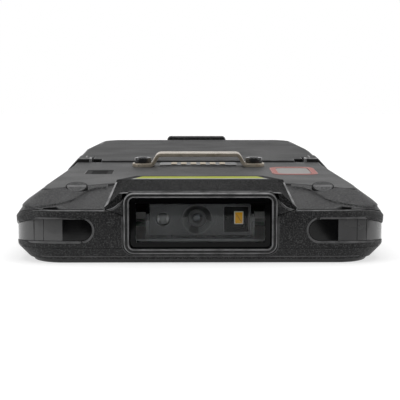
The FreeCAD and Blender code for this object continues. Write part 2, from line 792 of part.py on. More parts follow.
def build_screen():
    """Touch glass, its seal and the display behind it."""
    glass = slab("touch_glass", "glass_recess", "glass_thick", GLASS_WIDTH, GLASS_LENGTH, "glass_corner")
    glass.soften("glass_thick / 5", lambda edge: edge.BoundBox.ZMax < value("glass_recess") + 0.01,
                 "PartDesign::Chamfer")
    seal = slab("glass_seal", GLASS_BACK, "seal_thick", f"{GLASS_WIDTH} - 0.6", f"{GLASS_LENGTH} - 0.6",
                "glass_corner - 0.3",
                holes=[(f"{DISPLAY_WIDTH} + 1", f"{DISPLAY_LENGTH} + 1", "2")])
    display = slab("display_module", GLASS_BACK, "display_thick", DISPLAY_WIDTH, DISPLAY_LENGTH, "1.5")
    for piece in (glass, seal, display):
        keep(piece.body, piece.label)


def build_bumper():
    """The band round the body, with its nose, light slots, key slots and tail block."""
    band = body_form.common(split_side(above=False))
    room = plan_prism(value("head_wall"), value("side_wall"), 0, value("roof_height"))
    tail_block = room.common(brick(f"-{WIDE}", f"{WIDE}", f"{TAIL} - tail_block", f"{TAIL}",
                                   CHASSIS_BACK, "split_height"))
    flange_room = upright_panel("bezel_width + 2 * fit_gap", "bezel_height + 2 * fit_gap", "bezel_corner",
                                "bezel_centre_z", f"{FRONT} - 2", f"{FRONT} + bezel_flange + 0.05")
    barrel_room = upright_panel("bezel_width - 2 * bezel_step - 1 + 2 * fit_gap",
                                "bezel_height - 2 * bezel_step + 2 * fit_gap", "bezel_corner - bezel_step",
                                "bezel_centre_z", f"{FRONT} - 2", f"{FRONT} + head_wall + 3")
    slot = light_band().common(skin_ring(-1, value("light_recess + light_thick")))
    led_hole = brick(f"{LIGHT_END} + 0.1", f"{LIGHT_END} + 3.1",
                     f"{FRONT} + light_recess + light_thick - 0.5", f"{FRONT} + head_wall + 1",
                     "light_low + 1.2", "light_high - 1.2")
    cuts = [flange_room, barrel_room, slot, mirrored(slot), led_hole, mirrored(led_hole),
            key_slot(1, "scan_key_y", "scan_key_length", "fit_gap"),
            key_slot(-1, "scan_key_y", "scan_key_length", "fit_gap"),
            key_slot(-1, "volume_key_y", "volume_key_length", "3 * fit_gap"),
            key_slot(1, "power_key_y", "power_key_length", "fit_gap"),
            softened_block("-usb_width / 2 - fit_gap", "usb_width / 2 + fit_gap",
                           f"{TAIL} - tail_block - 1", f"{TAIL} + 1", f"{CHASSIS_BACK} + 0.8",
                           f"{CHASSIS_BACK} + 0.8 + usb_height + fit_gap", "usb_height / 2.2", Y_AXIS),
            brick("-usb_width - fit_gap", "usb_width + fit_gap", f"{TAIL} - tail_block - 1",
                  f"{TAIL} - head_wall + 0.6", "0", f"{CHASSIS_BACK} + 0.8")]
    for side in (-1, 1):
        cuts.append(pin(f"{side} * {PLUG_X}", f"{TAIL} - 5.4", "0", "screw_radius", "split_height + 1"))
        cuts.append(pin(f"{side} * {PLUG_X}", f"{TAIL} - 5.4", "split_height - 1.6",
                        "2 * screw_radius + fit_gap", "4"))
    shell = band.cut(room).fuse([tail_block, collar()]).cut(cuts)
    feature("bumper", shell)


def build_light_windows():
    """Smoked strips sunk in the band's front corners, and the lamps behind them."""
    strip = light_band().common(skin_ring(value("light_recess"), value("light_recess + light_thick")))
    feature("light_window_right", strip)
    feature("light_window_left", mirrored(strip))
    lamps = [block(f"status_led_{name}", f"{side} * ({LIGHT_END} + 1.6)",
                   f"{FRONT} + (light_recess + light_thick + head_wall) / 2 + 0.4", "light_low + 1.3",
                   "2.8", "head_wall - light_recess - light_thick + 0.8", "light_high - light_low - 2.6")
             for name, side in (("left", -1), ("right", 1))]
    keep(gathered("status_leds", *lamps), "status_leds")


def build_back_housing():
    """The hollow head shell behind the seam, with its posts and its openings."""
    head = brick(f"-{WIDE}", f"{WIDE}", f"-2 * {WIDE}", "seam_y", "0", f"{TALL}")
    head_room = brick(f"-{WIDE}", f"{WIDE}", f"-2 * {WIDE}", "seam_y - side_wall / 2", "0", f"{TALL}")
    shell = body_form.common(split_side(above=True, lift=value("seam_gap"))).common(head).fuse(brow_pads)
    room = body_room.common(head_room)
    flank, throat = value(HOOD_FRONT_HALF), value(f"{BEZEL_HALF} + 0.7")
    heel = value(f"{HOOD_REAR_FLAT} - 0.5")
    step, turn = value("bezel_flange + 0.4"), value("hood_ridge_depth - 2.2")
    mouth = [(flank, -4), (flank, step), (throat, step), (throat, turn),
             (heel, value("hood_rear_depth - 0.7"))]
    mouth += [(-x, depth) for x, depth in reversed(mouth)]
    mouth_spots = [FreeCAD.Vector(x, value(FRONT) + depth, 5) for x, depth in mouth]
    mouth_room = Part.Face(Part.makePolygon(mouth_spots + mouth_spots[:1])).extrude(FreeCAD.Vector(0, 0, 12))
    posts = []
    for side in (-1, 1):
        posts.append(pin(f"{side} * {PLUG_X}", PLUG_Y, f"{CHASSIS_BACK} + 2", "plug_radius + 0.9",
                         f"{CEILING} - {CHASSIS_BACK} - 2"))
        posts.append(pin(f"{side} * strap_screw_x", BRACKET_Y, f"{CEILING} - 1.6", "3", "2"))
    shell = shell.cut([room, mouth_room]).fuse(posts).cut(plug_holes)
    cuts = [softened_block(f"{GRILLE_X} - grille_width / 2 + 1", f"{GRILLE_X} + grille_width / 2 - 1",
                           f"{GRILLE_Y} - grille_length / 2 + 1", f"{GRILLE_Y} + grille_length / 2 - 1",
                           f"{CEILING} - 1", f"{PLATE_BACK}", "0.8", Z_AXIS),
            pin(CAMERA_X, f"{CAMERA_Y} - camera_length / 5", f"{CEILING} - 1", "3.2", "4"),
            brick(f"{CAMERA_X} - 1.8", f"{CAMERA_X} + 1.8", f"{CAMERA_Y} + camera_length / 4 - 1.8",
                  f"{CAMERA_Y} + camera_length / 4 + 1.8", f"{CEILING} - 1", PLATE_BACK),
            brick("-dock_width / 2 - fit_gap / 2", "dock_width / 2 + fit_gap / 2",
                  f"{DOCK_Y} - dock_length / 2 - fit_gap / 2", f"{DOCK_Y} + dock_length / 2 + fit_gap / 2",
                  "0", PLATE_BACK)]
    for side in (-1, 1):
        cuts.append(pin(f"{side} * {PLUG_X}", PLUG_Y, "0", "screw_radius + fit_gap", f"{TALL}"))
        cuts.append(pin(f"{side} * strap_screw_x", BRACKET_Y, f"{CEILING} - 2", "1.9", "5"))
    feature("back_housing", shell.cut(cuts))


def build_back_plate():
    """The flat plate on the back, which stands a little proud of the housing's crease."""
    step = value("plate_overhang")
    fronts = [value(size) - step for size in ("roof_centre_depth", "roof_mid_depth", "roof_corner_depth")]
    side, waist = value("roof_side_inset") - step, value("waist_roof_inset") - step
    low, high = value("roof_height"), value(PLATE_BACK)
    ring = outline(low, fronts, side, waist, side, side)
    plate = Part.Face(ring).extrude(FreeCAD.Vector(0, 0, high - low))
    plate = plate.common(brick(f"-{WIDE}", f"{WIDE}", f"-2 * {WIDE}", "seam_y", "0", f"{TALL}"))
    rim = [edge for edge in plate.Edges
           if edge.BoundBox.ZMin > high - 0.01 and edge.BoundBox.YMin < value("seam_y") - 1]
    plate = plate.makeChamfer(value("back_plate_thick") * 0.4, rim)
    cuts = [softened_block(f"{GRILLE_X} - grille_width / 2", f"{GRILLE_X} + grille_width / 2",
                           f"{GRILLE_Y} - grille_length / 2", f"{GRILLE_Y} + grille_length / 2",
                           "0", f"{TALL}", "0.6", Z_AXIS),
            softened_block(f"{CAMERA_X} - camera_width / 2", f"{CAMERA_X} + camera_width / 2",
                           f"{CAMERA_Y} - camera_length / 2", f"{CAMERA_Y} + camera_length / 2",
                           "0", f"{TALL}", "camera_width / 3.2", Z_AXIS),
            brick("-dock_width / 2 - fit_gap / 2", "dock_width / 2 + fit_gap / 2",
                  f"{DOCK_Y} - dock_length / 2 - fit_gap / 2", f"{DOCK_Y} + dock_length / 2 + fit_gap / 2",
                  "0", f"{TALL}"),
            hood_shell]
    for side in (-1, 1):
        cuts.append(pin(f"{side} * strap_screw_x", BRACKET_Y, "0", "1.9", f"{TALL}"))
    feature("back_plate", plate.cut(cuts + plug_holes))


def build_hood():
    """The raised hood over the scan window, with its bright inlay behind the ridge."""
    room = hood_form(value("hood_wall"), value("bezel_depth + 0.4"), value("hood_wall + 1"))
    flange = upright_panel("bezel_width + 2 * fit_gap", "bezel_height + 2 * fit_gap", "bezel_corner",
                           "bezel_centre_z", f"{FRONT} - 2", f"{FRONT} + bezel_flange + 0.05")
    barrel = upright_panel("bezel_width - 2 * bezel_step - 1 + 2 * fit_gap",
                           "bezel_height - 2 * bezel_step + 2 * fit_gap", "bezel_corner - bezel_step",
                           "bezel_centre_z", f"{FRONT} - 2", f"{FRONT} + hood_ridge_depth")
    lip = brick("-bezel_width / 2 + 1", "bezel_width / 2 - 1", f"{FRONT} - 2",
                f"{FRONT} + bezel_flange + 0.05", "0", f"{TALL}")
    front_trim = brick(f"-{WIDE}", f"{WIDE}", f"{FRONT} - 5", f"{FRONT} + 0.3", "0", f"{TALL}")
    start, length = value(f"{FRONT} + accent_start_depth"), value("accent_length")
    near, far = value(f"{BEZEL_HALF} - accent_front_inset"), value(f"{BEZEL_HALF} - accent_rear_inset")
    top, sunk = value(f"{HOOD_TOP} + 1"), value(f"{HOOD_TOP} - 0.1 - accent_sink")

    def inlay(y_low, y_high, low, high):
        def half(y):
            return near + (far - near) * (y - start) / length
        spots = [FreeCAD.Vector(-half(y_low), y_low, low), FreeCAD.Vector(half(y_low), y_low, low),
                 FreeCAD.Vector(half(y_high), y_high, low), FreeCAD.Vector(-half(y_high), y_high, low)]
        return Part.Face(Part.makePolygon(spots + spots[:1])).extrude(FreeCAD.Vector(0, 0, high - low))

    trim_width = value("accent_trim_width")
    groove = inlay(start - trim_width, start + length, sunk, top)
    cuts = [room, flange, barrel, lip, front_trim, collar(0.05), body_form, groove]
    feature("scanner_hood", hood_shell.cut(cuts + plug_holes))
    flush = value(HOOD_TOP)
    feature("accent_strip", inlay(start, start + length, sunk, flush))
    feature("accent_trim", inlay(start - trim_width, start, sunk, flush + 0.05))


def build_scan_window():
    """The bezel in the nose, the window in it and the seal behind the window."""
    bezel = Piece("scan_bezel")
    face = bezel.sketch("XZ_Plane", FRONT)
    rounded(face, "bezel_width", "bezel_height", "bezel_corner", y="bezel_centre_z")
    bezel.pad(face, "bezel_flange", back=True)
    neck = bezel.sketch("XZ_Plane", f"{FRONT} + bezel_flange")
    rounded(neck, "bezel_width - 2 * bezel_step - 1", "bezel_height - 2 * bezel_step",
            "bezel_corner - bezel_step", y="bezel_centre_z")
    bezel.pad(neck, "bezel_depth - bezel_flange", back=True)
    bezel.soften("bezel_flange / 4", lambda edge: edge.BoundBox.YMax < value(FRONT) + 0.01)
    seat = bezel.sketch("XZ_Plane", FRONT)
    rounded(seat, f"{WINDOW_WIDTH} + 2 * fit_gap", f"{WINDOW_HEIGHT} + 2 * fit_gap", "window_corner",
            y="bezel_centre_z")
    bezel.pocket(seat, f"{WINDOW_DEPTH} + seal_thick")
    tunnel = bezel.sketch("XZ_Plane", FRONT)
    rounded(tunnel, TUNNEL_WIDTH, TUNNEL_HEIGHT, "window_corner / 2", y="bezel_centre_z")
    bezel.pocket(tunnel, "bezel_depth + 1")
    window = Piece("scan_window")
    pane = window.sketch("XZ_Plane", f"{FRONT} + window_recess")
    rounded(pane, WINDOW_WIDTH, WINDOW_HEIGHT, "window_corner", y="bezel_centre_z")
    window.pad(pane, "window_thick", back=True)
    seal = Piece("window_seal")
    ring = seal.sketch("XZ_Plane", f"{FRONT} + {WINDOW_DEPTH}")
    rounded(ring, WINDOW_WIDTH, WINDOW_HEIGHT, "window_corner", y="bezel_centre_z")
    rounded(ring, TUNNEL_WIDTH, TUNNEL_HEIGHT, "window_corner / 2", y="bezel_centre_z")
    seal.pad(ring, "seal_thick", back=True)
    for piece in (bezel, window, seal):
        keep(piece.body, piece.label)


def build_scan_engine():
    """The scan engine behind the window, with its lens, aimer and lamp, in a bracket."""
    engine = Piece("scan_engine_body")
    face = engine.sketch("XZ_Plane", ENGINE_FRONT)
    rounded(face, "engine_width", "engine_height", "0.3", y="engine_centre_z")
    engine.pad(face, "engine_length", back=True)
    for x, radius, depth in (("lens_x", "lens_mouth_radius + 0.15", "5"),
                             ("aimer_x", "aimer_radius + 0.05", "2")):
        mouth = engine.sketch("XZ_Plane", ENGINE_FRONT)
        circle(mouth, x, "engine_centre_z", radius)
        engine.pocket(mouth, depth)
    nook = engine.sketch("XZ_Plane", ENGINE_FRONT)
    rounded(nook, "lamp_pocket", "lamp_pocket + 0.2", "0.4", x="lamp_x", y="engine_centre_z")
    engine.pocket(nook, "1.8")
    keep(engine.body, "scan_engine_body")

    sleeve = rod("barrel_outer", "lens_x", ENGINE_FRONT, "engine_centre_z", "lens_mouth_radius + 0.1",
                 "5", "Y")
    ribs = 4
    steps = [rod(f"barrel_step_{rib}", "lens_x", f"{ENGINE_FRONT} - 1", "engine_centre_z",
                 f"lens_mouth_radius - (lens_mouth_radius - lens_throat_radius) * {rib / ribs}",
                 f"1.5 + {rib} * 0.5", "Y") for rib in range(ribs + 1)]
    throat = rod("barrel_throat", "lens_x", ENGINE_FRONT, "engine_centre_z", "lens_glass_radius", "4", "Y")
    keep(carved("scan_lens_barrel", sleeve, *steps, throat), "scan_lens_barrel")
    keep(rod("scan_lens", "lens_x", f"{ENGINE_FRONT} + 2.9", "engine_centre_z", "lens_glass_radius",
             "1.1", "Y"), "scan_lens")
    dome = doc.addObject("Part::Sphere", "aimer_dome")
    dome.setExpression("Radius", bind("aimer_radius * 1.3"))
    place(dome, "aimer_x", f"{ENGINE_FRONT} + aimer_radius * 1.3", "engine_centre_z")
    aimer_core = rod("aimer_core", "aimer_x", ENGINE_FRONT, "engine_centre_z", "aimer_radius", "2", "Y")
    aimer = doc.addObject("Part::Common", "aimer_lens")
    aimer.Base = dome
    aimer.Tool = aimer_core
    keep(aimer, "aimer_lens")
    keep(block("illumination_led", "lamp_x + 0.6", f"{ENGINE_FRONT} + 1.35",
               "engine_centre_z - lamp_height / 2 + 0.2", "lamp_width", "0.9", "lamp_height"),
         "illumination_led")

    side = "engine_width / 2 + fit_gap / 2"
    bottom = "engine_centre_z - engine_height / 2"
    floor_plate = block("bracket_floor", "0", f"{ENGINE_FRONT} + engine_length / 2 + 0.5", CHASSIS_BACK,
                        f"2 * ({side}) + 1.6", "engine_length", f"{bottom} - {CHASSIS_BACK}")
    ears = [block(f"bracket_ear_{name}", f"{sign} * ({side} + 0.4)",
                  f"{ENGINE_FRONT} + engine_length / 2 + 0.5", CHASSIS_BACK, "0.8", "engine_length",
                  "engine_height * 0.8")
            for name, sign in (("left", -1), ("right", 1))]
    keep(joined("engine_bracket", floor_plate, *ears), "engine_bracket")


def build_chassis():
    """The metal inner plate, with posts under the board and under the head screws."""
    long_half = f"({TAIL} - head_wall - 2)"
    chassis = slab("chassis", "frame_height", "chassis_thick", f"2 * {CHASSIS_HALF}", f"2 * {long_half}", "7")
    for x, y, height, radius in ((PLUG_X, PLUG_Y, "2", "post_radius"),
                                 (f"{BOARD_HALF} - 4", f"{FRONT} + board_front_depth + 4", "board_gap", "2"),
                                 (f"{BOARD_HALF} - 4", "seam_y - 3", "board_gap", "2")):
        posts = chassis.sketch(at=CHASSIS_BACK)
        for side in ("-1", "1"):
            circle(posts, f"{side} * ({x})", y, radius)
        chassis.pad(posts, height)
    bores = chassis.sketch(at=f"{CHASSIS_BACK} + 3")
    for side in ("-1", "1"):
        circle(bores, f"{side} * {PLUG_X}", PLUG_Y, "screw_radius")
        circle(bores, f"{side} * {PLUG_X}", f"{TAIL} - 5.4 - 1.2", "screw_radius + 1.3")
    chassis.pocket(bores, "6")
    keep(chassis.body, "chassis")


def screw(label, x, y, head_z, head_radius, head_height, shank_radius, shank_length, socket):
    """A screw that points down, with a socket in its head."""
    head = rod(f"{label}_head", x, y, head_z, head_radius, head_height)
    shank = rod(f"{label}_shank", x, y, f"{head_z} - ({shank_length})", shank_radius, shank_length)
    drive = doc.addObject("Part::Prism", f"{label}_drive")
    drive.Polygon = 6
    drive.setExpression("Circumradius", bind(socket))
    drive.setExpression("Height", bind(head_height))
    place(drive, x, y, f"{head_z} + ({head_height}) * 0.45")
    return carved(label, joined(f"{label}_blank", head, shank), drive)


def build_screws():
    """Housing screws, the plugs over the front pair, and the strap bracket's screws and inserts."""
    head_z = f"({CEILING} - 2.4)"
    screws, plugs = [], []
    for name, side in (("left", "-1"), ("right", "1")):
        x = f"{side} * {PLUG_X}"
        screws.append(screw(f"head_screw_{name}", x, PLUG_Y, head_z, "2 * screw_radius", "1.2",
                            "screw_radius", f"{head_z} - frame_height", "screw_radius * 0.9"))
        screws.append(screw(f"tail_screw_{name}", x, f"{TAIL} - 5.4", "split_height - 1.6",
                            "2 * screw_radius", "1.2", "screw_radius",
                            f"split_height - 1.6 - {CHASSIS_BACK}", "screw_radius * 0.9"))
        plug = pin(x, PLUG_Y, f"{head_z} + 1.2", "plug_radius", f"{TALL}")
        plugs.append(plug.common(body_form.fuse([plate_form(), brow_pads])))
    keep(gathered("housing_screws", *screws), "housing_screws")
    feature("head_screw_plugs", Part.makeCompound(plugs))
    strap, inserts = [], []
    for name, side in (("left", "-1"), ("right", "1")):
        x = f"{side} * strap_screw_x"
        strap.append(screw(f"strap_screw_{name}", x, BRACKET_Y, f"{PLATE_BACK} + strap_thick",
                           "strap_head_radius", "1.4", "1", "3.6", "1.2"))
        insert = rod(f"insert_{name}", x, BRACKET_Y, f"{CEILING} - 1.6", "1.9", "3.1")
        bore = rod(f"insert_bore_{name}", x, BRACKET_Y, f"{CEILING} - 2", "1", "5")
        inserts.append(carved(f"strap_insert_{name}", insert, bore))
    keep(gathered("strap_screws", *strap), "strap_screws")
    keep(gathered("strap_inserts", *inserts), "strap_inserts")


def plate_form():
    """The back plate's outline without its openings, for the plugs that follow it."""
    step = value("plate_overhang")
    fronts = [value(size) - step for size in ("roof_centre_depth", "roof_mid_depth", "roof_corner_depth")]
    side, waist = value("roof_side_inset") - step, value("waist_roof_inset") - step
    low, high = value("roof_height"), value(PLATE_BACK)
    return Part.Face(outline(low, fronts, side, waist, side, side)).extrude(FreeCAD.Vector(0, 0, high - low))


def build_strap_bracket():
    """The bent steel bracket that holds the hand strap over the dock contacts."""
    bracket = Piece("strap_bracket")
    low, high = PLATE_BACK, "bridge_height"
    profile = bracket.sketch("XZ_Plane", f"{BRACKET_Y} + bracket_length / 2")
    right = [("bracket_half", low), ("bracket_half", f"{low} + strap_thick"),
             ("bridge_half + 0.3", f"{low} + strap_thick"), ("bridge_half - 0.4", high)]
    inner = [("bridge_half - strap_thick - 0.6", f"{high} - strap_thick"),
             ("bridge_half - strap_thick + 0.1", low)]
    points = right + [(f"-({x})", z) for x, z in reversed(right)]
    points += [(f"-({x})", z) for x, z in reversed(inner)] + inner
    polygon(profile, points)
    bracket.pad(profile, "bracket_length")
    bores = bracket.sketch(at=f"{low} + 3")
    for side in ("-1", "1"):
        circle(bores, f"{side} * strap_screw_x", BRACKET_Y, "1.15")
    bracket.pocket(bores, "5")
    outer = value("bracket_half")
    bracket.soften("bracket_length * 0.4", lambda edge: abs(abs(edge.CenterOfMass.x) - outer) < 0.01
                   and edge.BoundBox.ZLength > 0.1)
    crown = value("bridge_half - 0.4")
    bracket.soften("strap_thick * 1.4", lambda edge: abs(abs(edge.CenterOfMass.x) - crown) < 0.01
                   and abs(edge.CenterOfMass.z - value(high)) < 0.01)
    keep(bracket.body, "strap_bracket")


def build_back_fittings():
    """Dock contacts, speaker with its grille, and the camera with its window."""
    dock = slab("contact_block", CEILING, "roof_wall + back_plate_thick + 0.2", "dock_width", "dock_length",
                "0.6", y=DOCK_Y)
    keep(dock.body, "contact_block")
    pads = Piece("dock_contacts")
    pad_sketch = pads.sketch(at=f"{PLATE_BACK} + 0.2")
    rounded(pad_sketch, "dock_pitch * 0.6", "dock_length * 0.6", "0.5", x="-2.5 * dock_pitch", y=DOCK_Y)
    first = pads.pad(pad_sketch, "0.15")
    pads.row(first, pad_sketch, "dock_pitch", 6)
    keep(pads.body, "dock_contacts")

    grille = Piece("speaker_grille")
    plate = grille.sketch(at="roof_height")
    rounded(plate, "grille_width", "grille_length", "0.6", x=GRILLE_X, y=GRILLE_Y)
    holes = 5
    for row in range(holes):
        spot = f"{GRILLE_Y} + grille_length * {(row - (holes - 1) / 2) / (holes + 1)}"
        rounded(plate, "grille_width * 0.6", "grille_length / 14", "grille_length / 30", x=GRILLE_X, y=spot)
    grille.pad(plate, "back_plate_thick - 0.1")
    keep(grille.body, "speaker_grille")
    keep(block("speaker", GRILLE_X, GRILLE_Y, BOARD_BACK, "grille_width + 1.8", "grille_length + 2",
               f"{CEILING} - {BOARD_BACK}"), "speaker")

    trim = slab("camera_trim", "roof_height", "back_plate_thick + 0.15", "camera_width", "camera_length",
                "camera_width / 3.2", x=CAMERA_X, y=CAMERA_Y,
                holes=[("camera_width - 2 * camera_border", "camera_length - 2 * camera_border",
                        "camera_width / 3.2 - camera_border", CAMERA_X, CAMERA_Y)])
    keep(trim.body, "camera_trim")
    pane = slab("camera_window", "roof_height", "back_plate_thick", "camera_width - 2 * camera_border - 0.1",
                "camera_length - 2 * camera_border - 0.1", "camera_width / 3.2 - camera_border - 0.05",
                x=CAMERA_X, y=CAMERA_Y)
    keep(pane.body, "camera_window")
    eye_y = f"{CAMERA_Y} - camera_length / 5"
    base = block("camera_base", CAMERA_X, eye_y, BOARD_BACK, "8.6", "8.6", f"{CEILING} - {BOARD_BACK}")
    lens = rod("camera_lens", CAMERA_X, eye_y, CEILING, "3", "roof_wall - 0.1")
    keep(joined("camera_module", base, lens), "camera_module")
    keep(block("flash_led", CAMERA_X, f"{CAMERA_Y} + camera_length / 4", BOARD_BACK, "3.2", "3.2",
               f"roof_height - 0.1 - {BOARD_BACK}"), "flash_led")


def build_boards():
    """Main board with its shields, haptic motor, side switches and the tail board."""
    length = f"(-{FRONT} - board_front_depth + seam_y + 3.4)"
    centre = f"({FRONT} + board_front_depth + {length} / 2)"
    board = slab("main_board", BOARD_FRONT, "board_thick", f"2 * {BOARD_HALF}", length, "1.5", y=centre)
    keep(board.body, "main_board")
    near = f"{FRONT} + board_front_depth"
    reach = f"({BOARD_HALF} - 0.6 - motor_length - shield_gap)"
    cans = [block("shield_radio", f"-({reach} + shield_gap) / 2", f"{near} + 12", BOARD_BACK,
                  f"{reach} - shield_gap", "14", "shield_height"),
            block("shield_core", f"({reach} + shield_gap) / 2", f"{near} + 15", BOARD_BACK,
                  f"{reach} - 3 * shield_gap", "18", "shield_height"),
            block("shield_power", "-2", f"{near} + 36", BOARD_BACK, "24", "14", "shield_height")]
    keep(gathered("shield_cans", *cans), "shield_cans")
    motor = rod("vibration_motor", f"-{BOARD_HALF} + 0.6", f"{near} + 6", f"{BOARD_BACK} + 2", "2",
                "motor_length", "X")
    keep(motor, "vibration_motor")

    button_end = f"({WAIST} - side_wall - key_travel - 3 * fit_gap - 0.9)"
    board_root, bay_root = f"({BOARD_HALF} - 3)", f"({TRAY_HALF} + tray_gap + bay_wall)"
    rocker = "volume_key_length / 3"
    switches = []
    for name, side, y, inner, low in (("scan_left", "-1", "scan_key_y", board_root, BOARD_BACK),
                                      ("scan_right", "1", "scan_key_y", board_root, BOARD_BACK),
                                      ("power", "1", "power_key_y", bay_root, "key_z - 1.2"),
                                      ("volume_up", "-1", f"volume_key_y - {rocker}", bay_root,
                                       "key_z - 1.2"),
                                      ("volume_down", "-1", f"volume_key_y + {rocker}", bay_root,
                                       "key_z - 1.2")):
        width = f"({button_end} - {inner})"
        middle = f"{side} * ({inner} + {width} / 2)"
        switches.append(block(f"switch_{name}", middle, y, low, width, "3.6", "2.2"))
    keep(gathered("key_switches", *switches), "key_switches")

    tail_board = block("usb_board", "0", f"{TAIL} - tail_block / 2 - head_wall / 2 + 0.2", CHASSIS_BACK,
                       "2 * usb_width", "tail_block - head_wall", "0.8")
    keep(tail_board, "usb_board")
    socket = Piece("usb_connector")
    mouth = socket.sketch("XZ_Plane", f"{TAIL} - 0.5")
    centre_z = f"({CHASSIS_BACK} + 0.8 + usb_height / 2)"
    rounded(mouth, "usb_width", "usb_height", "usb_height / 2.2", y=centre_z)
    socket.pad(mouth, "tail_block - 1")
    hollow = socket.sketch("XZ_Plane", f"{TAIL} - 0.5")
    rounded(hollow, "usb_width - 0.7", "usb_height - 0.7", "usb_height / 2.2 - 0.35", y=centre_z)
    rounded(hollow, "usb_width * 0.68", "usb_height * 0.22", "0.2", y=centre_z)
    socket.pocket(hollow, "tail_block - 2.2", back=True)
    keep(socket.body, "usb_connector")


def build_battery_bay():
    """The open tub that takes the battery pack, with the spring contact block at its front."""
    inner_half = f"({TRAY_HALF} + tray_gap)"
    front, end = f"({TRAY_FRONT} - tray_gap)", f"({TRAY_END} + tray_gap)"
    middle, length = f"(({front} + {end}) / 2)", f"({end} - {front})"
    bay = Piece("battery_bay")
    base = bay.sketch(at=CHASSIS_BACK)
    rounded(base, f"2 * {inner_half} + 2 * bay_wall", f"{length} + 2 * bay_wall", "tray_corner + bay_wall",
            y=middle)
    bay.pad(base, f"split_height - 0.1 - {CHASSIS_BACK}")
    room = bay.sketch(at="split_height - 0.1")
    rounded(room, f"2 * {inner_half}", length, "tray_corner", y=middle)
    bay.pocket(room, f"split_height - 0.1 - {CHASSIS_BACK} - bay_floor")
    window = bay.sketch("XZ_Plane", f"{front} - 2")
    rounded(window, "20", "2.6", "0.3", y=f"{CHASSIS_BACK} + bay_floor + 2")
    bay.pocket(window, "4")
    keep(bay.body, "battery_bay")
    contact = block("battery_connector", "0", f"{front} - bay_wall / 2", f"{CHASSIS_BACK} + bay_floor + 0.8",
                    "19.8", "bay_wall", "2.4")
    keep(contact, "battery_connector")


def pack_form(raise_by=0.0, wall=0.0):
    """The battery cover's outer form over the whole body, or the room inside it."""
    lean = value("cheek_inset + 0.2")
    top = value("waist_roof_inset") + wall
    ledge = value("tail_ledge") + wall
    slope = value("cover_end_slope")
    tail_top = value("roof_side_inset * 1.6") + wall
    base = value(COVER_BASE) - wall
    lid = value("cover_lid") if wall else 0
    shoulder = value("(split_height + 4 * roof_height) / 5 - 0.6")
    return ruled([
        outline(base, even(wall), wall, 0.2 + wall, 0.2 + wall, ledge),
        outline(shoulder + raise_by / 2, even(lean + wall), lean + wall, lean + wall, 2 * lean + wall,
                ledge + slope / 4),
        outline(value(COVER_TOP) + raise_by - lid, even(top), top, top, tail_top, ledge + slope),
    ])


def build_battery_pack():
    """The pack: its outer cover, the tray under it, the cell and the contact pads."""
    zone = brick(f"-{WIDE}", f"{WIDE}", "seam_y + seam_gap", f"{TAIL} + 10", "0", f"{TALL}")
    inner_zone = brick(f"-{WIDE}", f"{WIDE}", "seam_y + seam_gap + cover_wall", f"{TAIL} + 10", "0",
                       f"{TALL}")
    shell = pack_form().common(zone).cut(pack_form(wall=value("cover_wall")).common(inner_zone))
    cuts = []
    for side in (-1, 1):
        bay = brick(f"{LATCH_INNER} - latch_travel - 3 * fit_gap", f"{WIDE}", "seam_y - 1",
                    "seam_y + latch_length + 5 * fit_gap", "0", f"{TALL}")
        notch = brick(f"{LATCH_INNER} - 2 * latch_travel - 1.3", f"{WIDE}", "seam_y - 1",
                      "seam_y + notch_length + 3 * fit_gap", "0", f"{TALL}")
        cuts += [bay, notch] if side > 0 else [mirrored(bay), mirrored(notch)]
    feature("battery_cover", shell.cut(cuts))

    latch_form = pack_form(raise_by=value("latch_raise")).common(
        brick(LATCH_INNER, f"{WIDE}", "seam_y + 3 * fit_gap", "seam_y + latch_length", "0", f"{TALL}"))
    ridge = pack_form(raise_by=value("latch_raise")).common(
        brick(f"{LATCH_INNER} - latch_travel - fit_gap", f"{WIDE}", "seam_y + 3 * fit_gap",
              "seam_y + notch_length", "0", f"{TALL}"))
    shelf = brick(f"{LATCH_INNER} - 2 * latch_travel - 0.9", LATCH_INNER, "seam_y + 1.5",
                  "seam_y + notch_length", f"{COVER_UNDER} - 1.6", f"{COVER_UNDER} - 0.2")
    foot = brick("0", f"{WIDE}", "-10", f"{TAIL}", "0", f"{COVER_BASE} + 0.1")
    latch = latch_form.fuse([ridge, shelf]).cut(foot)
    feature("battery_latch_right", latch)
    feature("battery_latch_left", mirrored(latch))

    middle, length = f"(({TRAY_FRONT} + {TRAY_END}) / 2)", f"({TRAY_END} - {TRAY_FRONT})"
    tray = Piece("battery_tray")
    base = tray.sketch(at=TRAY_FLOOR)
    rounded(base, f"2 * {TRAY_HALF}", length, "tray_corner", y=middle)
    tray.pad(base, "0.9 + cell_thick")
    room = tray.sketch(at=f"{TRAY_FLOOR} + 0.9 + cell_thick")
    rounded(room, f"2 * {TRAY_HALF} - 2 * tray_wall", f"{length} - 2 * tray_wall",
            "tray_corner - tray_wall", y=middle)
    tray.pocket(room, "0.3 + cell_thick")
    keep(tray.body, "battery_tray")
    cell = slab("battery_cell", f"{TRAY_FLOOR} + 0.6", "cell_thick", CELL_WIDTH,
                f"{length} - 2 * tray_wall - 0.4", "tray_corner - tray_wall - 0.2", y=middle)
    keep(cell.body, "battery_cell")
    pads = Piece("battery_contacts")
    face = pads.sketch("XZ_Plane", TRAY_FRONT)
    rounded(face, "2.4", "1.8", "0.3", x="-7.5", y=f"{CHASSIS_BACK} + bay_floor + 2")
    first = pads.pad(face, "tray_gap / 3")
    pads.row(first, face, "5", 4)
    keep(pads.body, "battery_contacts")


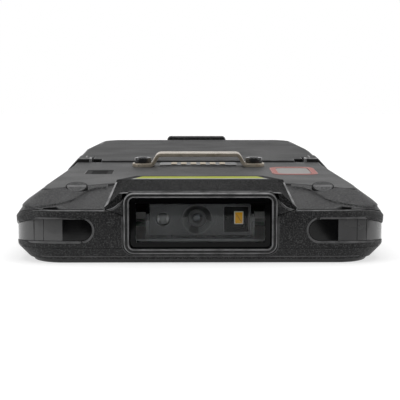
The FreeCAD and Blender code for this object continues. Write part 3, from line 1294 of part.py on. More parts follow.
def side_key(label, side, y, length, tab):
    """A key in the side wall: a cap that stands proud and a tab that holds it in."""
    wall_inner = f"({WAIST} - side_wall)"
    cap = softened_block(f"{wall_inner} - 1.1", f"{WAIST} + key_proud", f"{y} - ({length}) / 2",
                         f"{y} + ({length}) / 2", "key_z - key_height / 2", "key_z + key_height / 2",
                         "key_height / 3.2", X_AXIS)
    rim = [edge for edge in cap.Edges if edge.BoundBox.XMin > value(f"{WAIST} + key_proud") - 0.01]
    cap = cap.makeFillet(value("key_proud / 2"), rim)
    tab_plate = brick(f"{wall_inner} - 1.1", f"{wall_inner} - 3 * fit_gap", f"{y} - ({tab}) / 2",
                      f"{y} + ({tab}) / 2", "key_z - key_height / 2 - 0.6", "key_z + key_height / 2 + 0.6")
    key = cap.fuse(tab_plate)
    feature(label, key if side > 0 else mirrored(key))


def build_keys():
    """The scan keys on both sides, the volume rocker on the left and the power key on the right."""
    side_key("scan_key_left", -1, "scan_key_y", "scan_key_length", "scan_key_length + 2")
    side_key("scan_key_right", 1, "scan_key_y", "scan_key_length", "scan_key_length + 2")
    side_key("volume_key", -1, "volume_key_y", "volume_key_length", "volume_key_length / 4")
    side_key("power_key", 1, "power_key_y", "power_key_length", "power_key_length + 2")


def build_strap_anchor():
    """The bar at the tail that takes the lower end of the hand strap."""
    depth = f"{TAIL} - 4"
    half, post = "anchor_width / 2", "2.4"
    anchor = softened_block(f"-{half}", half, depth, f"{depth} + anchor_thick", "split_height",
                            "anchor_height", "1.2", Y_AXIS)
    slot = softened_block(f"-{half} + {post}", f"{half} - {post}", f"{depth} - 1", f"{TAIL} + 1",
                          "split_height + 0.8", "anchor_height - 1.5", "0.8", Y_AXIS)
    base = brick(f"-{half}", half, depth, f"{depth} + anchor_thick", "split_height", "split_height + 0.8")
    feature("strap_anchor", anchor.cut(slot).fuse(base))


build_front_frame()
build_screen()
build_bumper()
build_light_windows()
build_back_housing()
build_back_plate()
build_hood()
build_scan_window()
build_scan_engine()
build_chassis()
build_screws()
build_strap_bracket()
build_back_fittings()
build_boards()
build_battery_bay()
build_battery_pack()
build_keys()
build_strap_anchor()
doc.recompute()

for item in doc.Objects:
    if {"Invalid", "Error"} & set(item.State):
        raise ValueError(f"{item.Label} did not compute: {item.State}")
for node in nodes:
    if node.Shape.isNull() or not node.Shape.isValid():
        raise ValueError(f"{node.Label} has no valid shape")

os.makedirs("parts", exist_ok=True)
for node in nodes:
    node.Shape.exportStep(f"parts/{node.Label}.step")
    print(f"{node.Label}: {len(node.Shape.Solids)} solid(s), {node.Shape.Volume:.1f} cubic mm")
print(f"{len(nodes)} nodes")
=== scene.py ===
"""Looks of a portable barcode data terminal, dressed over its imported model.

The terminal lies on its screen with its flat back up. +Z runs from the screen to the back, -Y is
the scan end and +Y is the tail. Forms are shaped in millimetres and finished in metres.
"""

import logging
import math
from collections.abc import Callable, Iterable
from dataclasses import dataclass
from enum import Enum
from functools import cache

import bmesh
import bpy
from mathutils import Matrix, Vector
from mathutils.kdtree import KDTree


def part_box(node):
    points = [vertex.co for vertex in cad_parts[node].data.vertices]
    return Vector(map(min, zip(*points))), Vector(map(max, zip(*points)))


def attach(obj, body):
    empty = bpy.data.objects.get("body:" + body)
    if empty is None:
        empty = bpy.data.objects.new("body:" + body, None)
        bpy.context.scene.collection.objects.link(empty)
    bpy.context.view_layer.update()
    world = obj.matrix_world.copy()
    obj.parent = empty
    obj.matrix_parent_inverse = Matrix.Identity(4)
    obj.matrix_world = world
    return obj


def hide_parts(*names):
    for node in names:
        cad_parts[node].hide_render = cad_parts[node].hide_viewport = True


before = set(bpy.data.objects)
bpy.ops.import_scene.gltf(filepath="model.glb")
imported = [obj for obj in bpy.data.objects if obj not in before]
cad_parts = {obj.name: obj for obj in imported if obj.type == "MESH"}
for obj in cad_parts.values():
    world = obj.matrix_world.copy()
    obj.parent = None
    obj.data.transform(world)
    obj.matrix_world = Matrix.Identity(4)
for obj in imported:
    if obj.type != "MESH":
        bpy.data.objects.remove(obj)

LOG = logging.getLogger("terminal")
METRE = 1000.0
# The face layer that marks rounded edges for a painted highlight.
EDGE = "edge_wear"

Colour = tuple[float, float, float]
Spot = tuple[float, float, float]
Socket = bpy.types.NodeSocket
Material = bpy.types.Material
Face = bmesh.types.BMFace
Edge = bmesh.types.BMEdge
Vert = bmesh.types.BMVert

SIDEWAYS: Spot = (1.0, 0.0, 0.0)
UPWARD: Spot = (0.0, 0.0, 1.0)

# Rounding, in millimetres and degrees: corners closer than WELD are one, faces that meet under
# FLAT_ANGLE are one, an edge needs ROOM widths of face beside it, and a corner may land REACH
# widths from its edge. The last of the TRIES leaves every edge sharp.
WELD = 0.004
FLAT_ANGLE = 0.7
SHORTEST_EDGE = 0.01
ROOM = 1.6
REACH = 2.6
TRIES = 7


def middle(face: Face) -> Vector:
    """The middle of a face."""
    return face.calc_center_median()


def only(kind: type, items: Iterable[object]) -> list:
    """The items of one kind, such as the vertices among what an operator made."""
    return [item for item in items if isinstance(item, kind)]


def faces_round(verts: Iterable[Vert]) -> list[Face]:
    """The faces that touch some vertices, each once."""
    return list({face for vert in verts for face in vert.link_faces})


def point_tree(points: list[Vector]) -> KDTree:
    """A tree that finds the nearest of some points."""
    tree = KDTree(max(1, len(points)))
    for index, point in enumerate(points):
        tree.insert(point, index)
    tree.balance()
    return tree


def add_object(name: str, data: bpy.types.ID) -> bpy.types.Object:
    """Put an object that holds some data into the scene."""
    made = bpy.data.objects.new(name, data)
    bpy.context.scene.collection.objects.link(made)
    return made


def add_mesh(name: str, mesh: bmesh.types.BMesh, *finishes: Material) -> bpy.types.Object:
    """Put a mesh in the making into the scene, with its materials."""
    data = bpy.data.meshes.new(name)
    mesh.to_mesh(data)
    mesh.free()
    for finish in finishes:
        data.materials.append(finish)
    return add_object(name, data)


class Side(Enum):
    """The two long sides of the body, seen from the scan end."""

    LEFT = -1
    RIGHT = 1


class Axis(Enum):
    """The way that a turned or flat form faces, as its turn about X."""

    UP = 0.0
    FRONT = math.pi / 2

    def matrix(self, spot: Spot) -> Matrix:
        """Turn a form's own +Z to this axis and put it at a spot.

        Args:
            spot: Where the form's own origin goes, in millimetres.

        Returns:
            The matrix that does both.
        """
        return Matrix.Translation(Vector(spot)) @ Matrix.Rotation(self.value, 4, "X")


class Graph:
    """One material's node tree, with short calls for the nodes that the finishes share."""

    def __init__(self, name: str) -> None:
        """Start a material that holds one Principled shader.

        Args:
            name: The material's name.
        """
        self.material = bpy.data.materials.new(name)
        self.material.use_nodes = True
        self.tree = self.material.node_tree
        self.tree.nodes.clear()
        self.output = self.node("ShaderNodeOutputMaterial")
        self.shader = self.node("ShaderNodeBsdfPrincipled")
        self.join(self.shader.outputs["BSDF"], self.output.inputs["Surface"])
        self.place = self.grid()

    def node(self, kind: str, **settings: object) -> bpy.types.Node:
        """Add a node.

        Args:
            kind: Blender's name of the node type.
            **settings: Properties of the node.

        Returns:
            The new node.
        """
        made = self.tree.nodes.new(kind)
        for name, setting in settings.items():
            setattr(made, name, setting)
        return made

    def join(self, source: Socket, target: Socket) -> None:
        """Link an output to an input."""
        self.tree.links.new(source, target)

    def set(self, **numbers: object) -> None:
        """Set the shader's own sockets.

        Args:
            **numbers: Socket names with underscores for spaces, and their values.
        """
        for name, number in numbers.items():
            socket = self.shader.inputs[name.replace("_", " ")]
            socket.default_value = (*number, 1.0) if isinstance(number, tuple) else number

    def grid(self, stretch: Spot = (1.0, 1.0, 1.0), turn: Spot = (0.0, 0.0, 0.0)) -> Socket:
        """Object coordinates in millimetres.

        Args:
            stretch: How much finer the pattern is along each axis.
            turn: The pattern's turn in radians.

        Returns:
            The coordinates' output.
        """
        source = self.node("ShaderNodeTexCoord")
        mapping = self.node("ShaderNodeMapping")
        mapping.inputs["Scale"].default_value = [METRE * part for part in stretch]
        mapping.inputs["Rotation"].default_value = turn
        self.join(source.outputs["Object"], mapping.inputs["Vector"])
        return mapping.outputs["Vector"]

    def noise(self, size: float, detail: float = 2.0, place: Socket | None = None) -> Socket:
        """Noise whose blobs have a given size.

        Args:
            size: The size of a blob in millimetres.
            detail: How many finer layers lie on it.
            place: Coordinates other than the usual ones.

        Returns:
            The noise, from 0 to 1.
        """
        made = self.node("ShaderNodeTexNoise")
        made.inputs["Scale"].default_value = 1.0 / size
        made.inputs["Detail"].default_value = detail
        self.join(place or self.place, made.inputs["Vector"])
        return made.outputs["Fac"]

    def cells(self, size: float) -> Socket:
        """Distance to the middle of scattered cells of a given size in millimetres."""
        made = self.node("ShaderNodeTexVoronoi")
        made.inputs["Scale"].default_value = 1.0 / size
        self.join(self.place, made.inputs["Vector"])
        return made.outputs["Distance"]

    def spread(self, source: Socket, low: float, high: float, start: float = 0.0,
               end: float = 1.0) -> Socket:
        """Map a factor's range from low..high to start..end, smoothly and clamped.

        Args:
            source: The factor.
            low: The value that becomes start.
            high: The value that becomes end.
            start: The lowest result.
            end: The highest result.

        Returns:
            The mapped factor.
        """
        made = self.node("ShaderNodeMapRange", interpolation_type="SMOOTHSTEP")
        for name, number in (("From Min", low), ("From Max", high), ("To Min", start), ("To Max", end)):
            made.inputs[name].default_value = number
        self.join(source, made.inputs["Value"])
        return made.outputs["Result"]

    def math(self, kind: str, first: Socket, second: Socket | float) -> Socket:
        """Work out two factors.

        Args:
            kind: The operation.
            first: The first factor.
            second: The second factor, or a number.

        Returns:
            The result.
        """
        made = self.node("ShaderNodeMath", operation=kind)
        self.join(first, made.inputs[0])
        if isinstance(second, (int, float)):
            made.inputs[1].default_value = second
        else:
            self.join(second, made.inputs[1])
        return made.outputs[0]

    def tint(self, factor: Socket, first: Colour | Socket, second: Colour) -> Socket:
        """Blend from one colour to another.

        Args:
            factor: 0 shows the first colour and 1 the second.
            first: A colour, or the output of another blend.
            second: A colour.

        Returns:
            The blended colour.
        """
        made = self.node("ShaderNodeMix", data_type="RGBA")
        self.join(factor, made.inputs["Factor"])
        if isinstance(first, tuple):
            made.inputs[6].default_value = (*first, 1.0)
        else:
            self.join(first, made.inputs[6])
        made.inputs[7].default_value = (*second, 1.0)
        return made.outputs[2]

    def bump(self, height: Socket, depth: float, strength: float = 1.0) -> Socket:
        """A relief that the shader sees as real.

        Args:
            height: The relief's height, from 0 to 1.
            depth: The height of 1, in millimetres.
            strength: How much of the relief shows.

        Returns:
            The normal.
        """
        made = self.node("ShaderNodeBump")
        made.inputs["Distance"].default_value = depth / METRE
        made.inputs["Strength"].default_value = strength
        self.join(height, made.inputs["Height"])
        return made.outputs["Normal"]

    def edge(self) -> Socket:
        """1 on the rounded edges that a form marks for a painted highlight, and 0 elsewhere."""
        return self.node("ShaderNodeAttribute", attribute_name=EDGE).outputs["Fac"]

    def feed(self, **sources: Socket) -> Material:
        """Link patterns to the shader's sockets.

        Args:
            **sources: Socket names with underscores for spaces, and the outputs for them.

        Returns:
            The material.
        """
        for name, source in sources.items():
            self.join(source, self.shader.inputs[name.replace("_", " ")])
        return self.material


@dataclass(frozen=True)
class Moulded:
    """Moulded plastic or rubber with a sparked grain and a painted highlight that is paler along its
    rounded edges.
    """

    name: str
    colour: Colour
    fleck: Colour
    roughness: float = 0.5
    grain: float = 0.34
    depth: float = 0.03
    shine: float = 0.5
    # The painted highlight's colour on rounded edges, and its strength.
    painted_highlight: Colour = (0.13, 0.13, 0.132)
    wear: float = 0.85

    def material(self) -> Material:
        """Build the finish.

        Returns:
            The material.
        """
        graph = Graph(self.name)
        grain = graph.noise(self.grain, 3.0)
        flecks = graph.spread(graph.noise(self.grain * 0.8, 1.0), 0.46, 0.68)
        cloud = graph.noise(14.0, 3.0)
        uneven = graph.spread(graph.noise(2.6, 4.0), 0.3, 0.65, 0.45, 1.0)
        # Painted highlight: marked rounded edges are tinted unevenly paler and made smoother.
        painted_highlight = graph.math("MULTIPLY", graph.edge(), uneven)
        colour = graph.tint(graph.math("MULTIPLY", flecks, 0.75), self.colour, self.fleck)
        colour = graph.tint(graph.math("MULTIPLY", painted_highlight, self.wear), colour, self.painted_highlight)
        rough = graph.spread(cloud, 0.3, 0.7, self.roughness - 0.05, self.roughness + 0.05)
        rough = graph.math("SUBTRACT", rough, graph.math("MULTIPLY", painted_highlight, 0.18))
        rough = graph.math("SUBTRACT", rough, graph.math("MULTIPLY", flecks, 0.08))
        graph.set(Specular_IOR_Level=self.shine)
        return graph.feed(Base_Color=colour, Roughness=rough, Normal=graph.bump(grain, self.depth, 0.9))


@dataclass(frozen=True)
class Gloss:
    """Smooth moulded or painted surface with faint dust, fine hairlines and a painted highlight along its
    rounded edges.
    """

    name: str
    colour: Colour
    roughness: float = 0.12
    coat: float = 0.0
    dust: float = 0.3
    shine: float = 0.5

    def material(self) -> Material:
        """Build the finish.

        Returns:
            The material.
        """
        graph = Graph(self.name)
        specks = graph.spread(graph.cells(0.9), 0.0, 0.12, 1.0, 0.0)
        haze = graph.spread(graph.noise(5.0, 4.0), 0.4, 0.75)
        hairs = graph.noise(0.25, 2.0, graph.grid((0.05, 1.0, 1.0), (0.3, 0.2, 0.5)))
        paler = tuple(min(1.0, 1.35 * part + 0.006) for part in self.colour)
        colour = graph.tint(graph.math("MULTIPLY", specks, self.dust), self.colour, paler)
        # Painted highlight: rounded edges are tinted paler.
        colour = graph.tint(graph.math("MULTIPLY", graph.edge(), 0.4), colour, paler)
        rough = graph.spread(haze, 0.0, 1.0, self.roughness, self.roughness + 0.07)
        graph.set(Coat_Weight=self.coat, Coat_Roughness=0.05, Specular_IOR_Level=self.shine)
        return graph.feed(Base_Color=colour, Roughness=rough, Normal=graph.bump(hairs, 0.004, 0.3))


@dataclass(frozen=True)
class Metal:
    """Bare or plated metal with drawn lines, stains and painted bright highlights along its rounded edges.
    """

    name: str
    colour: Colour
    stain: Colour
    roughness: float = 0.3
    lines: Spot = (0.06, 1.0, 1.0)
    line_size: float = 0.22
    bare: float = 1.0

    def material(self) -> Material:
        """Build the finish.

        Returns:
            The material.
        """
        graph = Graph(self.name)
        drawn = graph.noise(self.line_size, 3.0, graph.grid(self.lines))
        patches = graph.spread(graph.noise(2.4, 4.0), 0.42, 0.72)
        colour = graph.tint(graph.math("MULTIPLY", patches, 0.6), self.colour, self.stain)
        # Painted highlight: rounded edges are tinted brighter.
        bright = tuple(min(1.0, 1.15 * part) for part in self.colour)
        colour = graph.tint(graph.math("MULTIPLY", graph.edge(), 0.6), colour, bright)
        rough = graph.spread(drawn, 0.25, 0.75, self.roughness - 0.06, self.roughness + 0.08)
        graph.set(Metallic=self.bare)
        return graph.feed(Base_Color=colour, Roughness=rough, Normal=graph.bump(drawn, 0.01, 0.5))


@dataclass(frozen=True)
class Pane:
    """Clear or tinted glass or lens plastic with a coated, lightly smeared face."""

    name: str
    colour: Colour
    clear: float = 1.0
    roughness: float = 0.01
    bending: float = 1.5

    def material(self) -> Material:
        """Build the finish.

        Returns:
            The material.
        """
        graph = Graph(self.name)
        smear = graph.spread(graph.noise(7.0, 4.0), 0.45, 0.8)
        paler = tuple(min(1.0, 1.06 * part + 0.004) for part in self.colour)
        colour = graph.tint(smear, self.colour, paler)
        rough = graph.spread(smear, 0.0, 1.0, self.roughness, self.roughness + 0.03)
        graph.set(Transmission_Weight=self.clear, IOR=self.bending)
        return graph.feed(Base_Color=colour, Roughness=rough)


@dataclass(frozen=True)
class Board:
    """Solder mask over copper tracks on a circuit board."""

    name: str = "solder_mask"
    colour: Colour = (0.01, 0.09, 0.035)
    track: Colour = (0.03, 0.2, 0.08)

    def material(self) -> Material:
        """Build the finish.

        Returns:
            The material.
        """
        graph = Graph(self.name)
        tracks = graph.spread(graph.noise(0.5, 0.0, graph.grid((0.15, 1.0, 1.0))), 0.48, 0.53)
        graph.set(Coat_Weight=0.3)
        return graph.feed(Base_Color=graph.tint(tracks, self.colour, self.track),
                          Roughness=graph.spread(graph.noise(3.0), 0.3, 0.7, 0.25, 0.4),
                          Normal=graph.bump(tracks, 0.03))


class Paint(Enum):
    """The finishes of the terminal."""

    # Where a moulding lists more than two colours, the last is the painted highlight on its rounded edges.
    HOUSING = Moulded("housing_grain", (0.026, 0.0263, 0.027), (0.15, 0.15, 0.152), 0.5, 0.28, 0.04, 0.42,
                      painted_highlight=(0.16, 0.16, 0.162))
    BAND = Moulded("band_grain", (0.0135, 0.0137, 0.0142), (0.1, 0.1, 0.101), 0.56, 0.28, 0.04, 0.28,
                   painted_highlight=(0.18, 0.18, 0.182))
    HOOD = Moulded("hood_grain", (0.007, 0.0071, 0.0074), (0.075, 0.075, 0.076), 0.68, 0.28, 0.04, 0.08,
                   painted_highlight=(0.42, 0.42, 0.424))
    PLATE = Moulded("plate_grain", (0.054, 0.0542, 0.055), (0.092, 0.092, 0.093), 0.52, 0.26, 0.02, 0.42)
    PACK = Moulded("pack_grain", (0.026, 0.0262, 0.0268), (0.05, 0.05, 0.051), 0.56, 0.24, 0.018, 0.42)
    FRAME = Moulded("frame_satin", (0.018, 0.0181, 0.0186), (0.05, 0.05, 0.051), 0.42, 0.3, 0.015, 0.4,
                    (0.08, 0.08, 0.082))
    KEY = Moulded("key_rubber", (0.02, 0.0202, 0.0207), (0.045, 0.045, 0.046), 0.7, 0.2, 0.02, 0.3,
                  (0.06, 0.06, 0.061))
    SEAL = Moulded("seal_rubber", (0.006, 0.006, 0.0062), (0.015, 0.015, 0.0152), 0.8, 0.2, 0.02, 0.2,
                   (0.02, 0.02, 0.02))
    SOCKET = Moulded("component_black", (0.011, 0.011, 0.0113), (0.03, 0.03, 0.0303), 0.45, 0.2, 0.01, 0.4,
                     (0.09, 0.09, 0.09))
    MESH = Moulded("grille_black", (0.006, 0.006, 0.0062), (0.014, 0.014, 0.0141), 0.6, 0.2, 0.01, 0.15,
                   (0.03, 0.03, 0.03))
    ACCENT = Moulded("accent_green", (0.36, 0.4, 0.012), (0.44, 0.48, 0.03), 0.5, 0.25, 0.01, 0.12,
                     (0.5, 0.54, 0.1))
    RING = Moulded("camera_ring", (0.42, 0.18, 0.165), (0.5, 0.24, 0.22), 0.6, 0.2, 0.008, 0.15,
                   (0.55, 0.32, 0.3))
    ENGINE = Moulded("engine_casting", (0.045, 0.045, 0.0463), (0.085, 0.085, 0.087), 0.5, 0.2, 0.012, 0.4,
                     (0.15, 0.15, 0.152), 0.6)
    BEZEL = Moulded("bezel_black", (0.012, 0.0121, 0.0126), (0.045, 0.045, 0.0455), 0.4, 0.36, 0.014, 0.3,
                    (0.34, 0.34, 0.344), 0.95)
    SMOKED = Gloss("smoked_lens", (0.0045, 0.0045, 0.0048), 0.1, 0.0, shine=0.25)
    SHEEN = Gloss("smoked_sheen", (0.11, 0.11, 0.111), 0.24, 0.2)
    PRINT = Gloss("window_print", (0.003, 0.003, 0.0032), 0.05, shine=0.12)
    DISPLAY = Gloss("display_stack", (0.012, 0.012, 0.016), 0.2)
    CAMERA_GLASS = Gloss("camera_glass", (0.3, 0.285, 0.275), 0.42, 0.0, shine=0.3)
    AMBER = Gloss("amber_phosphor", (0.95, 0.45, 0.002), 0.4, 0.0, 0.1, 0.2)
    LAMP_WHITE = Gloss("lamp_white", (0.8, 0.76, 0.6), 0.25, 0.3)
    SCREW = Gloss("black_oxide", (0.012, 0.012, 0.013), 0.22, 0.3)
    LENS_BLACK = Gloss("lens_black", (0.014, 0.014, 0.0148), 0.3)
    # Pale colour painted on some rib crests as a highlight.
    RIBS = Gloss("lens_ribs", (0.42, 0.42, 0.425), 0.25, 0.3)
    THROAT = Gloss("lens_throat", (0.035, 0.035, 0.036), 0.5, 0.1)
    PAD_BED = Moulded("pad_bed", (0.14, 0.14, 0.142), (0.18, 0.18, 0.18), 0.4, 0.25, 0.01, 0.3,
                      (0.3, 0.3, 0.3), 0.8)
    GLINT = Gloss("lens_glint", (0.8, 0.8, 0.81), 0.2, 0.5)
    # The aimer's face is painted paler than the casting, as painted light against the shade of its hole.
    AIMER = Gloss("aimer_lens_face", (0.13, 0.13, 0.133), 0.3, 0.2)
    LATCH = Moulded("latch_grain", (0.014, 0.0141, 0.0145), (0.04, 0.04, 0.041), 0.5, 0.24, 0.018, 0.35,
                    (0.34, 0.34, 0.344), 0.95)
    WINDOW = Pane("scan_glass", (0.86, 0.88, 0.88), bending=1.2)
    GLASS = Pane("cover_glass", (0.02, 0.02, 0.023), 0.0, 0.03)
    LENS = Pane("lens_glass", (0.1, 0.11, 0.13), 0.5)
    STRAP_STEEL = Metal("champagne_steel", (0.56, 0.495, 0.4), (0.26, 0.21, 0.15), 0.3, bare=0.55)
    SILVER = Metal("silver_line", (0.42, 0.43, 0.41), (0.28, 0.29, 0.27), 0.35)
    BRASS = Metal("turned_brass", (0.72, 0.5, 0.2), (0.5, 0.33, 0.12), 0.28)
    GOLD = Metal("contact_gold", (0.62, 0.5, 0.33), (0.5, 0.4, 0.25), 0.32)
    STEEL = Metal("plain_steel", (0.5, 0.5, 0.51), (0.34, 0.34, 0.35), 0.32)
    TIN = Metal("shield_tin", (0.6, 0.6, 0.58), (0.45, 0.45, 0.43), 0.36)
    CAST = Metal("cast_alloy", (0.42, 0.42, 0.43), (0.3, 0.3, 0.31), 0.45, (0.6, 1.0, 1.0))
    FOIL = Metal("cell_foil", (0.66, 0.67, 0.68), (0.5, 0.51, 0.52), 0.28, (0.3, 1.0, 1.0), 0.9)
    BOARD = Board()

    @cache
    def material(self) -> Material:
        """The finish as a material, built once."""
        return self.value.material()


class Form:
    """A mesh in the making, in millimetres, that ends as one piece of the terminal."""

    def __init__(self, name: str, body: str = "housing") -> None:
        """Start an empty form.

        Args:
            name: The piece's name.
            body: The body that it moves with.
        """
        self.name = name
        self.body = body
        self.mesh = bmesh.new()
        # A face layer that marks rounded edges for a painted highlight.
        self.wear = self.mesh.faces.layers.float.new(EDGE)
        self.stood_for: tuple[str, ...] = ()

    @classmethod
    def softened(cls, name: str, node: str, body: str = "housing", width: float = 0.2,
                 angle: float = 24.0, where: Callable[[Edge], bool] | None = None) -> "Form":
        """A copy of a solid with its sharp edges rounded.

        Args:
            name: The piece's name.
            node: The solid that is copied and that the piece stands for.
            body: The body that it moves with.
            width: The rounding's width in millimetres.
            angle: Edges sharper than this many degrees are rounded.
            where: A test that limits the rounding to some edges.

        Returns:
            The form.
        """
        form = cls(name, body)
        form.stood_for = (node,)
        form.mesh.from_mesh(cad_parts[node].data)
        layers = form.mesh.faces.layers.float
        form.wear = layers.get(EDGE) or layers.new(EDGE)
        bmesh.ops.scale(form.mesh, vec=(METRE,) * 3, verts=form.mesh.verts)
        bmesh.ops.remove_doubles(form.mesh, verts=form.mesh.verts, dist=WELD)
        bmesh.ops.dissolve_degenerate(form.mesh, edges=form.mesh.edges, dist=WELD)
        bmesh.ops.dissolve_limit(form.mesh, angle_limit=math.radians(FLAT_ANGLE), verts=form.mesh.verts,
                                 edges=form.mesh.edges)
        form.mesh.edges.index_update()
        form.round_edges(width, angle, where)
        form.confine(node)
        return form

    def confine(self, node: str) -> None:
        """Hold every corner inside the box of the solid that the form was copied from."""
        low, high = (METRE * Vector(corner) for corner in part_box(node))
        for vert in self.mesh.verts:
            vert.co = [min(max(part, least), most) for part, least, most in zip(vert.co, low, high)]

    def bevel(self, edges: Iterable[Edge], width: float, segments: int, wear: float) -> dict:
        """Round edges, whatever lies beside them, and mark the rounding for a painted highlight.

        Args:
            edges: The edges.
            width: The rounding's width.
            segments: How many faces cross the rounding.
            highlight: How strong its painted highlight is, from 0 to 1.

        Returns:
            What the operator made.
        """
        made = bmesh.ops.bevel(self.mesh, geom=list(edges), offset=width, segments=segments, profile=0.5,
                               affect="EDGES", material=-1)
        for face in made["faces"]:
            face[self.wear] = wear
        return made

    def round_edges(self, width: float, angle: float, where: Callable[[Edge], bool] | None = None,
                    segments: int = 2) -> None:
        """Round the sharp edges that have room for it, and leave those sharp that would fold over.

        Args:
            width: The rounding's width.
            angle: Edges sharper than this many degrees are rounded.
            where: A test that limits the rounding to some edges.
            segments: How many faces cross the rounding.
        """
        limit = math.radians(angle)
        chosen = []
        for edge in self.mesh.edges:
            length = edge.calc_length()
            if not edge.is_manifold or edge.calc_face_angle(0.0) < limit or length < SHORTEST_EDGE:
                continue
            if min(face.calc_area() for face in edge.link_faces) / length < ROOM * width:
                continue
            if where is None or where(edge):
                chosen.append(edge.index)
        for tries in range(TRIES + 1):
            trial = self.mesh.copy()
            trial.edges.ensure_lookup_table()
            picked = [trial.edges[index] for index in chosen]
            lines = [(edge.verts[0].co.copy(), edge.verts[1].co.copy()) for edge in picked]
            made = bmesh.ops.bevel(trial, geom=picked, offset=width, offset_type="OFFSET",
                                   segments=segments, profile=0.5, affect="EDGES", material=-1,
                                   clamp_overlap=False)
            homes = self.strays(made["faces"], lines, REACH * width)
            if not homes:
                break
            trial.free()
            LOG.info("%s: %d corners stray in try %d", self.name, len(homes), tries)
            near = point_tree(homes)
            keep = (2.0 + 2.0 * tries) * width
            chosen = [index for index, line in zip(chosen, lines)
                      if tries < TRIES - 1 and min(near.find(end)[2] for end in line) > keep]
        # Every rounding made here gets the full painted highlight.
        wear = trial.faces.layers.float.get(EDGE)
        for face in made["faces"]:
            face[wear] = 1.0
        self.mesh.free()
        self.mesh, self.wear = trial, wear
        self.mesh.edges.index_update()

    def strays(self, faces: Iterable[Face], lines: list[tuple[Vector, Vector]],
               reach: float) -> list[Vector]:
        """Find where a rounding has thrown a corner away from the edges that it rounds.

        Args:
            faces: The rounding's faces.
            lines: The ends of the edges before they were rounded.
            reach: How far a corner may lie from them.

        Returns:
            Corners of the bad faces that lie where they should.
        """
        points = []
        for start, end in lines:
            steps = max(1, math.ceil((end - start).length / reach))
            points += [start.lerp(end, step / steps) for step in range(steps + 1)]
        tree = point_tree(points)
        homes = []
        for face in faces:
            gaps = [(tree.find(vert.co)[2] if points else 0.0, vert.co.copy()) for vert in face.verts]
            if max(gap for gap, _ in gaps) > reach:
                homes += [spot for gap, spot in gaps if gap <= reach]
        return homes

    def plate(self, width: float, length: float, corner: float, height: float, spot: Spot,
              rim: float) -> Face:
        """A plate with rounded corners that rises from a spot towards the front.

        Args:
            width: The size along X.
            length: The size along Z.
            corner: The corners' radius.
            height: How far it rises.
            spot: The middle of its foot.
            rim: The rounding of its front edge.

        Returns:
            Its front face.
        """
        start = bmesh.ops.create_grid(self.mesh, x_segments=1, y_segments=1, size=0.5)["verts"]
        bmesh.ops.scale(self.mesh, vec=(width, length, 1.0), verts=start)
        made = bmesh.ops.bevel(self.mesh, geom=start, offset=corner, segments=6, profile=0.5,
                               affect="VERTICES", material=-1)
        foot = max(faces_round(made["verts"][:1]), key=Face.calc_area)
        risen = bmesh.ops.extrude_face_region(self.mesh, geom=[foot])["geom"]
        bmesh.ops.translate(self.mesh, vec=(0.0, 0.0, height), verts=only(Vert, risen))
        top = only(Face, risen)[0]
        whole = self.island(top)
        bmesh.ops.transform(self.mesh, matrix=Axis.FRONT.matrix(spot), verts=whole)
        bmesh.ops.recalc_face_normals(self.mesh, faces=faces_round(whole))
        return max(faces_round(self.bevel(top.edges, rim, 3, 1.0)["verts"]), key=Face.calc_area)

    def island(self, seed: Face) -> list[Vert]:
        """Every vertex that hangs together with a face."""
        found, queue = set(seed.verts), list(seed.verts)
        while queue:
            for edge in queue.pop().link_edges:
                for vert in edge.verts:
                    if vert not in found:
                        found.add(vert)
                        queue.append(vert)
        return list(found)

    def turned(self, profile: Iterable[tuple[float, float]], axis: Axis, spot: Spot,
               steps: int = 40) -> None:
        """Turn a profile round an axis.

        Args:
            profile: Radius and height of each point, from the foot's middle to the top's.
            axis: The way that the heights run.
            spot: Where the profile's origin goes.
            steps: How many faces go round.
        """
        points = [self.mesh.verts.new((radius, 0.0, height)) for radius, height in profile]
        chain = [self.mesh.edges.new(pair) for pair in zip(points, points[1:])]
        made = bmesh.ops.spin(self.mesh, geom=points + chain, cent=(0, 0, 0), axis=(0, 0, 1),
                              angle=2 * math.pi, steps=steps, use_merge=True)
        seeds = {*points, *only(Vert, made["geom_last"])}
        whole = {vert for face in faces_round(seeds) for vert in self.island(face)}
        bmesh.ops.remove_doubles(self.mesh, verts=list(whole), dist=0.0005)
        whole = [vert for vert in whole if vert.is_valid]
        bmesh.ops.recalc_face_normals(self.mesh, faces=faces_round(whole))
        bmesh.ops.transform(self.mesh, matrix=axis.matrix(spot), verts=whole)

    def slice(self, spot: Spot, way: Spot) -> None:
        """Cut every face where it crosses a plane, and keep both sides."""
        bmesh.ops.bisect_plane(self.mesh, geom=self.mesh.verts[:] + self.mesh.edges[:] + self.mesh.faces[:],
                               plane_co=spot, plane_no=way, dist=0.0001)

    def mark_highlight(self, test: Callable[[Face], bool]) -> None:
        """Mark the faces that pass a test for a painted edge highlight."""
        for face in filter(test, self.mesh.faces):
            face[self.wear] = 1.0

    def groove(self, height: float, width: float, depth: float, reach: float) -> None:
        """Press a fine groove round the form at one height.

        Args:
            height: The groove's middle.
            width: Its width.
            depth: Its depth.
            reach: It stays in front of this Y.
        """
        for level in (height - width / 2, height, height + width / 2):
            self.slice((0.0, 0.0, level), UPWARD)
        self.mesh.normal_update()
        floor = [vert for vert in self.mesh.verts
                 if abs(vert.co.z - height) < 0.001 and vert.co.y < reach and abs(vert.normal.z) < 0.8]
        moves = [-depth * vert.normal for vert in floor]
        for vert, move in zip(floor, moves):
            vert.co += move

    def paint_where(self, test: Callable[[Face], bool]) -> None:
        """Give the faces that pass a test the second of the piece's finishes."""
        for face in filter(test, self.mesh.faces):
            face.material_index = 1

